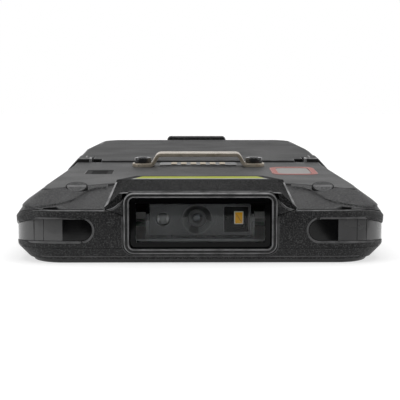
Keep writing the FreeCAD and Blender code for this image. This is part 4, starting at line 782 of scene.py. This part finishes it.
    def finish(self, *finishes: Paint, slot: str, stands_for: tuple[str, ...] = (),
               smooth: float = 32.0) -> None:
        """Make the form a piece, in metres, riding on its body.

        Args:
            *finishes: Its finishes, the main one first.
            slot: The material slot that it belongs to; not used.
            stands_for: Solids that it hides, besides the one it was copied from.
            smooth: Faces that meet under this angle in degrees are shaded as one.
        """
        bmesh.ops.scale(self.mesh, vec=(1 / METRE,) * 3, verts=self.mesh.verts)
        piece = add_mesh(self.name, self.mesh, *(finish.material() for finish in finishes))
        piece.data.shade_smooth()
        piece.data.set_sharp_from_angle(angle=math.radians(smooth))
        even = piece.modifiers.new("even_shading", "WEIGHTED_NORMAL")
        even.keep_sharp = True
        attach(piece, self.body)
        hidden = (*self.stood_for, *stands_for)
        if hidden:
            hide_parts(*hidden)
        LOG.info("%s: %d faces on %s", self.name, len(piece.data.polygons), self.body)


@dataclass
class Shells:
    """The outer mouldings: band, head shell, back plate, hood with its inlay, and the rim of the screen."""

    edge_round: float = 0.25
    plate_round: float = 0.12
    sharp_corner: Spot = (30.0, -66.0, 12.4)
    lip_round: float = 0.47
    lip_angle: float = 30.0
    slot_end: float = 21.0
    slot_rear: float = -50.0
    slot_low: float = 3.7
    slot_top: float = 10.0
    side_slot_top: float = 7.9
    corner_y: float = -72.0
    skin: tuple[float, float] = (36.0, -78.0)
    crease_z: float = 9.48
    crease_start: float = 22.0
    crease_reach: float = 0.06
    crease_weld: float = 0.09
    groove_z: float = 3.3
    groove_width: float = 0.22
    groove_depth: float = 0.16
    groove_rear: float = -55.0
    chin_z: float = 1.35
    chin_width: float = 0.2
    chin_rear: float = -79.0
    hood_edge: tuple[Spot, ...] = ((18.3, -70.9, 16.25), (20.25, -80.5, 12.2))
    hood_lean: Spot = (0.0, 1.0, -0.11)
    hood_rear: float = -70.5
    highlight_widths: tuple[float, float] = (0.08, 0.45)
    foot: Spot = (19.0, -78.0, 11.5)
    plug: Spot = (27.6, -64.0, 15.0)
    plug_radius: float = 2.3
    plug_depth: float = 2.2
    plug_rim: float = 0.22
    plug_crease: tuple[float, float] = (-0.45, 0.35)
    plug_fall: float = 0.2
    plug_tilt: float = 17.0

    def build(self) -> None:
        """Copy each shell with rounded edges and dress it."""
        self.band()
        Form.softened("head_shell", "back_housing", width=self.edge_round, where=self.head_edge).finish(
            Paint.HOUSING, slot="housing_plastic")
        Form.softened("flat_back", "back_plate", width=self.plate_round).finish(
            Paint.PLATE, slot="housing_plastic")
        self.hood()
        for name, node, width, paint, slot in (
                ("inlay", "accent_strip", self.plate_round, Paint.ACCENT, "accent"),
                ("inlay_line", "accent_trim", self.plate_round, Paint.SILVER, "silver_trim"),
                ("screen_rim", "front_frame", self.edge_round, Paint.FRAME, "frame_plastic")):
            Form.softened(name, node, width=width).finish(paint, slot=slot)
        self.plugs()

    def head_edge(self, edge: Edge) -> bool:
        """True for the head shell's edges, but for the low ones at its front corners."""
        spot = edge.verts[0].co
        x, y, z = self.sharp_corner
        return not (abs(spot.x) > x and spot.y < y and spot.z < z)

    def hood(self) -> None:
        """The hood, with a painted highlight along the slanting edges of its front."""
        form = Form.softened("hood", "scanner_hood", width=self.edge_round)
        x, y, z = self.foot
        for vert in form.mesh.verts:
            if abs(vert.co.x) > x and vert.co.y < y:
                vert.co.z = max(vert.co.z, z)
        for side in Side:
            line = [Vector((side.value * x, y, z)) for x, y, z in self.hood_edge]
            inward = self.inward(side, *line)
            line = [spot + width * inward for spot, width in zip(line, self.highlight_widths)]
            inward = self.inward(side, *line)
            form.slice(line[0], inward)
            # The strip of faces beside each slanting edge gets a painted highlight.
            form.mark_highlight(lambda face: (middle(face) - line[0]).dot(inward) < 0.0
                           and face.normal.z > 0.4 and middle(face).y < self.hood_rear)
        form.finish(Paint.HOOD, slot="housing_plastic")

    def inward(self, side: Side, rear: Vector, foot: Vector) -> Vector:
        """The way from a slanting edge to the hood's middle.

        Args:
            side: The edge's side.
            rear: The edge's upper end.
            foot: Its lower end.

        Returns:
            The way, one millimetre long.
        """
        across = (foot - rear).cross(Vector(self.hood_lean)).normalized()
        return across * math.copysign(1.0, -side.value * across.x)

    def lip(self, edge: Edge) -> bool:
        """True for the outer edges of the slots that hold the light windows."""
        spot = (edge.verts[0].co + edge.verts[1].co) / 2
        low, high = sorted(vert.co.z for vert in edge.verts)
        roof = self.slot_top if spot.y < self.corner_y else self.side_slot_top
        return (edge.is_convex and abs(spot.x) > self.slot_end and spot.y < self.slot_rear
                and self.slot_low < low and high < roof
                and (abs(spot.x) > self.skin[0] or spot.y < self.skin[1]))

    def band(self) -> None:
        """The band, with soft lips round its light windows, a fine groove along its chin and a painted
        highlight line below the groove.
        """
        form = Form.softened("band", "bumper", where=lambda edge: False)
        seam = [vert for vert in form.mesh.verts
                if abs(vert.co.x) > self.crease_start
                and abs(vert.co.z - self.crease_z) < self.crease_reach]
        bmesh.ops.remove_doubles(form.mesh, verts=seam, dist=self.crease_weld)
        form.mesh.edges.index_update()
        form.round_edges(self.lip_round, self.lip_angle, self.lip, 4)
        form.round_edges(self.edge_round, self.lip_angle, lambda edge: not self.lip(edge))
        form.confine("bumper")
        form.groove(self.groove_z, self.groove_width, self.groove_depth, self.groove_rear)
        # A thin strip low on the chin gets a painted highlight line.
        chin = (self.chin_z, self.chin_z + self.chin_width)
        for level in chin:
            form.slice((0.0, 0.0, level), UPWARD)
        form.mark_highlight(lambda face: chin[0] < middle(face).z < chin[1]
                       and middle(face).y < self.chin_rear)
        form.finish(Paint.BAND, slot="housing_plastic")

    def plugs(self) -> None:
        """The caps over the front screws: round, creased across the middle with a painted highlight on the
        crease, and set in a dark ring that stands for the shadowed gap round them.
        """
        caps, shade_rings = Form("plug_pair"), Form("plug_seals")
        for side in Side:
            spot = Vector((side.value * self.plug[0], *self.plug[1:]))
            self.cap(caps, spot, self.plug_radius - 0.05, 0.0)
            # A dark ring under each cap stands in for the shadowed gap round it.
            self.cap(shade_rings, spot, self.plug_radius + 0.22, -0.07)
        caps.finish(Paint.HOUSING, slot="housing_plastic", stands_for=("head_screw_plugs",))
        shade_rings.finish(Paint.SEAL, slot="seal_rubber")

    def cap(self, form: Form, spot: Vector, radius: float, lift: float) -> None:
        """One round cap whose front half falls away from its crease.

        Args:
            form: The form that takes it.
            spot: The middle of its crease.
            radius: Its radius.
            lift: How far it stands above the spot.
        """
        foot = bmesh.ops.create_circle(form.mesh, cap_ends=True, segments=40, radius=radius)["verts"]
        made = bmesh.ops.extrude_face_region(form.mesh, geom=foot[0].link_faces[:])["geom"]
        bmesh.ops.translate(form.mesh, vec=(0.0, 0.0, -self.plug_depth), verts=foot)
        # The rim gets a half-strength painted highlight.
        rim = form.bevel(only(Face, made)[0].edges, self.plug_rim, 3, 0.5)["faces"]
        whole = form.island(rim[0])
        parts = list({item for vert in whole for item in (*vert.link_faces, *vert.link_edges)}) + whole
        for level in self.plug_crease:
            parts = bmesh.ops.bisect_plane(form.mesh, geom=parts, plane_co=(0.0, level, 0.0),
                                           plane_no=(0.0, 1.0, 0.0), dist=0.0001)["geom"]
        whole = form.island(only(Face, parts)[0])
        # The crease's top faces get a painted highlight band.
        for face in faces_round(whole):
            if self.plug_crease[0] < middle(face).y < self.plug_crease[1] and face.normal.z > 0.7:
                face[form.wear] = 1.0
        for vert in whole:
            vert.co.z += self.plug_fall * min(0.0, vert.co.y)
        bmesh.ops.recalc_face_normals(form.mesh, faces=faces_round(whole))
        turn = Matrix.Translation(spot) @ Matrix.Rotation(math.radians(self.plug_tilt), 4, "X")
        bmesh.ops.transform(form.mesh, matrix=turn @ Matrix.Translation((0, 0, lift)), verts=whole)


@dataclass
class LightWindows:
    """The smoked strips round the band's front corners: black at the nose, with a paler painted sheen
    towards the corners.
    """

    sheen_start: float = 29.4
    seams: tuple[float, ...] = (33.4, 35.5)
    seam_width: float = 0.12
    sunk: float = 0.4
    sunk_until: float = 38.0
    sunk_fade: float = 4.0
    nose: float = -74.0

    def build(self) -> None:
        """Copy each strip, sink its nose end and dress it black with its painted sheen."""
        for side in Side:
            name = side.name.lower()
            form = Form.softened(f"light_strip_{name}", f"light_window_{name}", width=0.15, angle=50.0)
            for cut in (self.sheen_start, *self.seams):
                for level in (cut, cut + self.seam_width):
                    form.slice((side.value * level, 0.0, 0.0), SIDEWAYS)
            for vert in form.mesh.verts:
                share = min(1.0, max(0.0, (self.sunk_until - abs(vert.co.x)) / self.sunk_fade))
                if vert.co.y < self.nose:
                    vert.co.y += self.sunk * share
            # Faces in the sheen zone take the pale painted sheen.
            form.paint_where(self.sheen_zone)
            form.finish(Paint.SMOKED, Paint.SHEEN, slot="smoked_plastic")

    def sheen_zone(self, face: Face) -> bool:
        """True in the painted sheen zone, but for the seams across it."""
        out = abs(middle(face).x)
        return out > self.sheen_start and not any(cut < out < cut + self.seam_width for cut in self.seams)


@dataclass
class ScanHead:
    """Bezel, window and scan engine in the nose."""

    front: float = -81.0
    centre: float = 8.62
    window_size: tuple[float, float] = (30.0, 10.55)
    window_foot: float = 2.2
    tunnel_size: tuple[float, float] = (27.6, 8.35)
    lens: Spot = (-0.7, -74.4, 8.7)
    aimer: Spot = (-8.1, -74.4, 8.7)
    aimer_radius: float = 1.42
    glint: float = 0.86
    lamp: Spot = (8.4, -73.5, 8.9)
    lamp_foot: float = -72.15
    lamp_frame: float = 0.14
    ribs: int = 7
    rib_start: float = 3.05
    rib_step: float = 0.14

    def build(self) -> None:
        """Build the pieces from the outside in."""
        bezel = Form.softened("nose_bezel", "scan_bezel", width=0.3)
        # The bezel's slanting front rims get a painted highlight.
        bezel.mark_highlight(lambda face: middle(face).y < self.front + 0.5 and 0.2 < -face.normal.y < 0.97)
        bezel.finish(Paint.BEZEL, slot="bezel_plastic")
        self.window()
        self.case()
        self.throat()
        self.lenses()
        self.lamp_die()

    def window(self) -> None:
        """The pane with its printed border."""
        form = Form("window_pane")
        form.plate(*self.window_size, 1.0, 1.2, (0.0, self.front + self.window_foot, self.centre), 0.12)
        half_x, half_z = (size / 2 for size in self.tunnel_size)
        for sign in (-1, 1):
            form.slice((sign * half_x, 0.0, 0.0), SIDEWAYS)
            form.slice((0.0, 0.0, self.centre + sign * half_z), UPWARD)
        form.paint_where(lambda face: abs(middle(face).x) > half_x
                         or abs(middle(face).z - self.centre) > half_z)
        form.finish(Paint.WINDOW, Paint.PRINT, slot="clear_window", stands_for=("scan_window",))

    def case(self) -> None:
        """The engine's casting, painted black as shade in the lamp's recess."""
        form = Form.softened("engine_case", "scan_engine_body", width=0.12)
        low, high = (METRE * Vector(corner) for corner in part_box("scan_engine_body"))

        def recess(face: Face) -> bool:
            """True for the faces behind the front round the lamp, which are painted dark as shade."""
            spot = middle(face)
            return (low.y + 0.15 < spot.y < low.y + 3.0 and low.z + 0.3 < spot.z < high.z - 0.3
                    and abs(spot.x - self.lamp[0]) < 3.1 and abs(spot.z - self.lamp[2]) < 3.3)

        # The faces round the lamp are painted dark as shade.
        form.paint_where(recess)
        form.finish(Paint.ENGINE, Paint.MESH, slot="engine")

    def throat(self) -> None:
        """The ribbed throat of the camera lens, with painted highlights on some rib crests."""
        profile = [(3.14, -5.0), (3.14, 0.0), (self.rib_start, 0.0)]
        for rib in range(self.ribs):
            radius = self.rib_start - rib * self.rib_step
            profile += [(radius, -0.1 - rib * 0.3), (radius - 0.09, -0.25 - rib * 0.3)]
        profile += [(2.0, -2.4), (1.95, -2.5), (1.9, -2.35), (1.2, -2.3), (1.1, -2.5), (0.95, -2.6),
                    (0.9, -2.9), (0.88, -3.4), (0.88, -4.8), (0.88, -5.0)]
        form = Form("lens_throat")
        form.turned(profile + profile[:1], Axis.FRONT, self.lens, 48)
        # Some rib crests are painted pale as highlights.
        form.paint_where(self.lit_rib)
        form.finish(Paint.THROAT, Paint.RIBS, slot="lens_black",
                    stands_for=("scan_lens_barrel",), smooth=24.0)

    def lit_rib(self, face: Face) -> bool:
        """True for every second low rib's crest at the left and right, which is painted pale as a
        highlight.
        """
        spot = middle(face) - Vector(self.lens)
        radius = math.hypot(spot.x, spot.z)
        turn = math.degrees(math.atan2(spot.z, abs(spot.x)))
        low, high = (-80.0, -4.0) if spot.x > 0 else (-52.0, 10.0)
        outer = self.rib_start + 0.01
        return (2.1 < radius < outer and low < turn < high and face.normal.y < -0.35
                and int((outer - radius) / self.rib_step) % 2 == 0)

    def lenses(self) -> None:
        """The camera lens and the aimer's domed lens."""
        form = Form("camera_lens")
        form.turned([(0.0, -4.0), (0.85, -4.0), (0.85, -3.1), (0.6, -2.98), (0.3, -2.92), (0.0, -2.9)],
                    Axis.FRONT, self.lens)
        form.finish(Paint.LENS, slot="lens_glass", stands_for=("scan_lens",), smooth=50.0)
        form = Form("aimer_dome")
        turns = [step * math.pi / 16 for step in range(8, -1, -1)]
        arc = [(self.aimer_radius * math.sin(turn), -1.5 + self.aimer_radius * math.cos(turn))
               for turn in turns]
        form.turned([(0.0, -1.95), (self.aimer_radius, -1.95), *arc], Axis.FRONT, self.aimer)
        form.paint_where(lambda face: abs(middle(face).x - self.aimer[0]) > self.glint)
        form.finish(Paint.AIMER, Paint.GLINT, slot="lens_glass", stands_for=("aimer_lens",),
                    smooth=50.0)

    def lamp_die(self) -> None:
        """The amber lamp in its pale frame."""
        form = Form("lamp_die")
        front = form.plate(2.0, 2.8, 0.1, 0.9, (self.lamp[0], self.lamp_foot, self.lamp[2]), 0.06)
        bmesh.ops.inset_region(form.mesh, faces=[front], thickness=self.lamp_frame, use_even_offset=True)
        front.material_index = 1
        form.finish(Paint.LAMP_WHITE, Paint.AMBER, slot="led", stands_for=("illumination_led",))


@dataclass
class BackFittings:
    """Strap bracket with its screws, dock contacts, grille and camera window."""

    bracket_y: float = -13.8
    bracket_width: float = 7.0
    thick: float = 0.9
    foot: float = 14.75
    top: float = 18.35
    crown_x: float = 10.35
    foot_x: float = 11.9
    end_x: float = 17.1
    end_round: float = 2.8
    bend_inside: float = 0.7
    screw_x: float = 14.4

    def build(self) -> None:
        """Build the fittings."""
        self.bracket()
        self.screws()
        for name, node, width, paint, slot in (
                ("dock_block", "contact_block", 0.15, Paint.PAD_BED, "component"),
                ("dock_pads", "dock_contacts", 0.05, Paint.GOLD, "gold_contact"),
                ("grille", "speaker_grille", 0.06, Paint.MESH, "grille_metal"),
                ("camera_rim", "camera_trim", 0.12, Paint.RING, "camera_ring"),
                ("camera_pane", "camera_window", 0.1, Paint.CAMERA_GLASS, "camera_glass")):
            Form.softened(name, node, width=width).finish(paint, slot=slot)

    def bracket(self) -> None:
        """The bent strip, drawn out along its bends from the middle to one end, and mirrored."""
        form = Form("strap_bridge")
        sides = (self.bracket_y - self.bracket_width / 2, self.bracket_y + self.bracket_width / 2)
        under = self.top - self.thick
        face = form.mesh.faces.new([form.mesh.verts.new(spot) for spot in (
            (0.0, sides[0], self.top), (0.0, sides[1], self.top), (0.0, sides[1], under),
            (0.0, sides[0], under))])
        radius = self.bend_inside + self.thick / 2
        level, low = self.top - self.thick / 2, self.foot + self.thick / 2
        lean = math.atan2(self.foot_x - self.crown_x, level - low)
        turn = math.pi / 2 - lean
        short = radius * math.tan(turn / 2)
        face = self.draw(form, face, (self.crown_x - short, 0.0, 0.0))
        face = self.bend(form, face, (self.crown_x - short, level - radius), turn, 1)
        reach = (level - low) / math.cos(lean) - 2 * short
        face = self.draw(form, face, (reach * math.sin(lean), 0.0, -reach * math.cos(lean)))
        face = self.bend(form, face, (self.foot_x + short, low + radius), turn, -1)
        face = self.draw(form, face, (self.end_x - self.foot_x - short, 0.0, 0.0))
        ends = [edge for edge in face.edges if abs(edge.verts[0].co.y - edge.verts[1].co.y) < 0.01]
        bmesh.ops.bevel(form.mesh, geom=ends, offset=self.end_round, segments=6, profile=0.5,
                        affect="EDGES", material=-1)
        bmesh.ops.delete(form.mesh, geom=[item for item in form.mesh.faces if abs(middle(item).x) < 0.001],
                         context="FACES_ONLY")
        bmesh.ops.mirror(form.mesh, geom=form.mesh.verts[:] + form.mesh.edges[:] + form.mesh.faces[:],
                         axis="X", merge_dist=0.001)
        bmesh.ops.remove_doubles(form.mesh, verts=form.mesh.verts, dist=0.002)
        bmesh.ops.recalc_face_normals(form.mesh, faces=form.mesh.faces)
        form.round_edges(0.16, 50.0)
        form.finish(Paint.STRAP_STEEL, slot="bracket_steel", stands_for=("strap_bracket",), smooth=40.0)

    def draw(self, form: Form, face: Face, way: Spot) -> Face:
        """Draw the strip straight out from its end face.

        Args:
            form: The strip.
            face: Its end face.
            way: How far the face moves.

        Returns:
            The new end face.
        """
        made = bmesh.ops.extrude_face_region(form.mesh, geom=[face])["geom"]
        bmesh.ops.translate(form.mesh, vec=way, verts=only(Vert, made))
        return self.renewed(form, face, made)

    def bend(self, form: Form, face: Face, centre: tuple[float, float], turn: float, way: int) -> Face:
        """Bend the strip round a line along Y.

        Args:
            form: The strip.
            face: Its end face.
            centre: X and Z of the line.
            turn: The bend's angle.
            way: 1 bends down and -1 bends up.

        Returns:
            The new end face.
        """
        made = bmesh.ops.spin(form.mesh, geom=[face], cent=(centre[0], 0.0, centre[1]), axis=(0, way, 0),
                              angle=turn, steps=6, use_merge=False)["geom_last"]
        return self.renewed(form, face, made)

    def renewed(self, form: Form, face: Face, made: list) -> Face:
        """Drop the old end face where it stayed inside, and give back the new one."""
        new = only(Face, made)[0]
        if face.is_valid and face is not new and abs(middle(face).x) > 0.001:
            bmesh.ops.delete(form.mesh, geom=[face], context="FACES_ONLY")
        return new

    def screws(self) -> None:
        """The two black screws, with round sockets."""
        form = Form("strap_screw_pair")
        profile = [(0.0, -3.5), (0.98, -3.5), (0.98, 0.0), (2.18, 0.0), (2.2, 0.1), (2.2, 1.05), (2.1, 1.3),
                   (1.85, 1.4), (1.3, 1.4), (1.2, 1.3), (1.12, 0.5), (0.0, 0.4)]
        for side in Side:
            spot = (side.value * self.screw_x, self.bracket_y, self.foot + self.thick)
            form.turned(profile, Axis.UP, spot, 36)
        form.finish(Paint.SCREW, slot="black_screw", stands_for=("strap_screws",))


@dataclass
class BatteryPack:
    """The battery cover and its latches."""

    edge_round: float = 0.3
    notch: tuple[float, float] = (25.6, 28.9)
    notch_rear: float = 9.5
    notch_low: float = 13.0
    latch_highlight_x: float = 29.25

    def build(self) -> None:
        """Copy the pack's pieces with rounded edges and dress them."""
        cover = Form.softened("pack_cover", "battery_cover", "battery_pack", self.edge_round)
        # The notch walls are painted dark as shade.
        cover.paint_where(self.notch_shade)
        cover.finish(Paint.PACK, Paint.SEAL, slot="battery_skin")
        for side in Side:
            name = side.name.lower()
            latch = Form.softened(f"latch_{name}", f"battery_latch_{name}", f"latch_{name}", 0.2)
            # Faces inward of the cut get a painted highlight.
            latch.slice((side.value * self.latch_highlight_x, 0.0, 0.0), SIDEWAYS)
            latch.mark_highlight(lambda face: abs(middle(face).x) < self.latch_highlight_x)
            latch.finish(Paint.LATCH, slot="battery_skin")

    def notch_shade(self, face: Face) -> bool:
        """True for the walls of the cover's notches beside the latches, which are painted dark as shade."""
        spot = middle(face)
        return (self.notch[0] < abs(spot.x) < self.notch[1] and face.normal.y < -0.5
                and 0.0 < spot.y < self.notch_rear and spot.z > self.notch_low)


@dataclass
class Keys:
    """The side keys and the strap anchor at the tail."""

    def build(self) -> None:
        """Copy the keys with rounded edges and dress them."""
        for name in ("scan_key_left", "scan_key_right", "volume_key", "power_key"):
            Form.softened(f"{name}_cap", name, f"{name}_body", 0.12).finish(Paint.KEY, slot="key_rubber")
        Form.softened("anchor", "strap_anchor", width=0.3).finish(Paint.BAND, slot="housing_plastic")


@dataclass
class Inside:
    """Solids that keep their own shape and only get their finish."""

    def build(self) -> None:
        """Dress each solid."""
        finishes = {
            Paint.GLASS: ("touch_glass",),
            Paint.SEAL: ("glass_seal", "window_seal"),
            Paint.DISPLAY: ("display_module",),
            Paint.SOCKET: ("earpiece", "speaker", "battery_connector"),
            Paint.LENS_BLACK: ("front_camera", "camera_module"),
            Paint.LAMP_WHITE: ("status_leds", "flash_led"),
            Paint.SCREW: ("engine_bracket",),
            Paint.STEEL: ("housing_screws", "usb_connector", "vibration_motor"),
            Paint.CAST: ("chassis",),
            Paint.BRASS: ("strap_inserts",),
            Paint.BOARD: ("main_board", "usb_board"),
            Paint.TIN: ("shield_cans", "key_switches"),
            Paint.FRAME: ("battery_bay", "battery_tray"),
            Paint.FOIL: ("battery_cell",),
            Paint.GOLD: ("battery_contacts",),
        }
        for finish, nodes in finishes.items():
            for name in nodes:
                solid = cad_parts[name]
                if not solid.data.materials:
                    solid.data.materials.append(finish.material())
                for place in solid.material_slots:
                    place.link = "OBJECT"
                    place.material = finish.material()
                LOG.info("%s: dressed", name)


@dataclass
class Studio:
    """The floor, the lights and the camera at the photograph's place, in metres."""

    camera: Spot = (-0.00242, -0.371, 0.04735)
    pitch: float = 6.62
    yaw: float = 0.457
    lens: float = 124.02
    floor_size: float = 1.04
    surround: float = 0.35
    room: float = 0.12
    paper: float = 0.5
    glow: float = 0.63
    card_front: float = -0.152

    def build(self) -> None:
        """Set up floor, world, cards, lamps and camera."""
        self.floor()
        self.world()
        near = self.card_front
        self.flag("front_flag", (-3.0, -3.0), (3.0, -3.0), (3.0, near), (-3.0, near))
        self.flag("left_flag", (-0.8, near), (-0.011, near), (-0.019, -0.116), (-0.8, -0.116))
        self.flag("right_flag", (0.03, near), (0.8, near), (0.8, -0.092), (0.03, -0.092))
        self.lamp("top_softbox", (0.0, 0.1, 0.85), (0.9, 0.9), 4.5)
        self.lamp("left_softbox", (-0.7, -0.2, 0.4), (0.5, 0.6), 1.3)
        self.lamp("right_softbox", (0.7, -0.2, 0.4), (0.5, 0.6), 1.0)
        self.view()
        bpy.context.scene.view_settings.view_transform = "Standard"

    def floor(self) -> None:
        """A pale floor that shows white to the camera and keeps the soft shadow."""
        mesh = bmesh.new()
        bmesh.ops.create_grid(mesh, x_segments=2, y_segments=2, size=self.floor_size / 2)
        graph = Graph("floor_paper")
        paper = graph.node("ShaderNodeBsdfDiffuse")
        paper.inputs["Color"].default_value = (self.paper,) * 3 + (1.0,)
        glow = graph.node("ShaderNodeEmission")
        path = graph.node("ShaderNodeLightPath")
        seen = graph.math("MAXIMUM", path.outputs["Is Camera Ray"], path.outputs["Is Glossy Ray"])
        seen = graph.math("MAXIMUM", seen, path.outputs["Is Transmission Ray"])
        graph.join(graph.math("MULTIPLY", seen, self.glow), glow.inputs["Strength"])
        both = graph.node("ShaderNodeAddShader")
        graph.join(paper.outputs[0], both.inputs[0])
        graph.join(glow.outputs[0], both.inputs[1])
        graph.join(both.outputs[0], graph.output.inputs["Surface"])
        floor = add_mesh("studio_floor", mesh, graph.material)

    def world(self) -> None:
        """A surround that is white to the camera, and in reflections white low behind the terminal."""
        world = bpy.data.worlds.new("studio_world")
        bpy.context.scene.world = world
        world.use_nodes = True
        tree = world.node_tree
        tree.nodes.clear()

        def node(kind: str, **sources: object) -> bpy.types.Node:
            """Add a node whose inputs are numbers or other nodes' outputs."""
            made = tree.nodes.new(kind)
            for name, source in sources.items():
                socket = made.inputs[int(name[1:]) if name[1:].isdigit() else name.replace("_", " ")]
                if isinstance(source, Socket):
                    tree.links.new(source, socket)
                else:
                    socket.default_value = source
            return made

        split = node("ShaderNodeSeparateXYZ", _0=node("ShaderNodeTexCoord").outputs["Generated"])
        behind = node("ShaderNodeMapRange", Value=split.outputs["Y"], From_Min=0.0, From_Max=0.6)
        low = node("ShaderNodeMapRange", Value=split.outputs["Z"], From_Min=0.5, From_Max=0.15)
        backdrop = node("ShaderNodeMath", _0=behind.outputs["Result"], _1=low.outputs["Result"])
        backdrop.operation = "MULTIPLY"
        mirror = node("ShaderNodeMapRange", Value=backdrop.outputs[0], To_Min=self.room, To_Max=1.0)
        path = node("ShaderNodeLightPath").outputs
        shine = node("ShaderNodeMix", Factor=path["Is Glossy Ray"], _2=self.surround,
                     _3=mirror.outputs["Result"])
        direct = node("ShaderNodeMath", _0=path["Is Camera Ray"], _1=path["Is Transmission Ray"])
        direct.operation = "MAXIMUM"
        level = node("ShaderNodeMix", Factor=direct.outputs[0], _2=shine.outputs[0], _3=1.0)
        back = node("ShaderNodeBackground", Color=(1.0, 1.0, 1.0, 1.0), Strength=level.outputs[0])
        node("ShaderNodeOutputWorld", Surface=back.outputs[0])

    def flag(self, name: str, *corners: tuple[float, float]) -> None:
        """A dark card on the floor before the view, which keeps the window from mirroring white paper.

        Args:
            name: Its name.
            *corners: Its corners on the floor.
        """
        mesh = bmesh.new()
        mesh.faces.new([mesh.verts.new((x, y, 0.001)) for x, y in corners])
        graph = Graph(name)
        graph.set(Roughness=0.9, Specular_IOR_Level=0.0)
        tone = graph.tint(graph.noise(30.0), (0.02,) * 3, (0.03,) * 3)
        card = add_mesh(name, mesh, graph.feed(Base_Color=tone))
        card.visible_camera = card.visible_diffuse = card.visible_shadow = False

    def lamp(self, name: str, spot: Spot, size: tuple[float, float], power: float) -> None:
        """Hang one softbox that points at the terminal.

        Args:
            name: The lamp's name.
            spot: Where it hangs.
            size: Its width and height.
            power: Its power in watts.
        """
        light = bpy.data.lights.new(name, "AREA")
        light.shape = "RECTANGLE"
        (light.size, light.size_y), light.energy = size, power
        lamp = add_object(name, light)
        lamp.location = spot
        lamp.rotation_euler = (-Vector(spot)).to_track_quat("-Z", "Y").to_euler()

    def view(self) -> None:
        """Put the camera where the photograph was taken."""
        data = bpy.data.cameras.new("studio_camera")
        data.lens, data.sensor_width = self.lens, 36.0
        data.clip_start, data.clip_end = 0.01, 20.0
        camera = add_object("studio_camera", data)
        camera.location = self.camera
        camera.rotation_euler = (math.radians(90.0 - self.pitch), 0.0, -math.radians(self.yaw))
        bpy.context.scene.camera = camera


def main() -> None:
    """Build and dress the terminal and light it."""
    logging.basicConfig(level=logging.INFO, format="%(name)s: %(message)s")
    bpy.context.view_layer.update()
    for group in (Shells(), LightWindows(), ScanHead(), BackFittings(), BatteryPack(), Keys(), Inside()):
        LOG.info("%s", type(group).__name__)
        group.build()
    Studio().build()


if __name__ == "__main__":
    main()
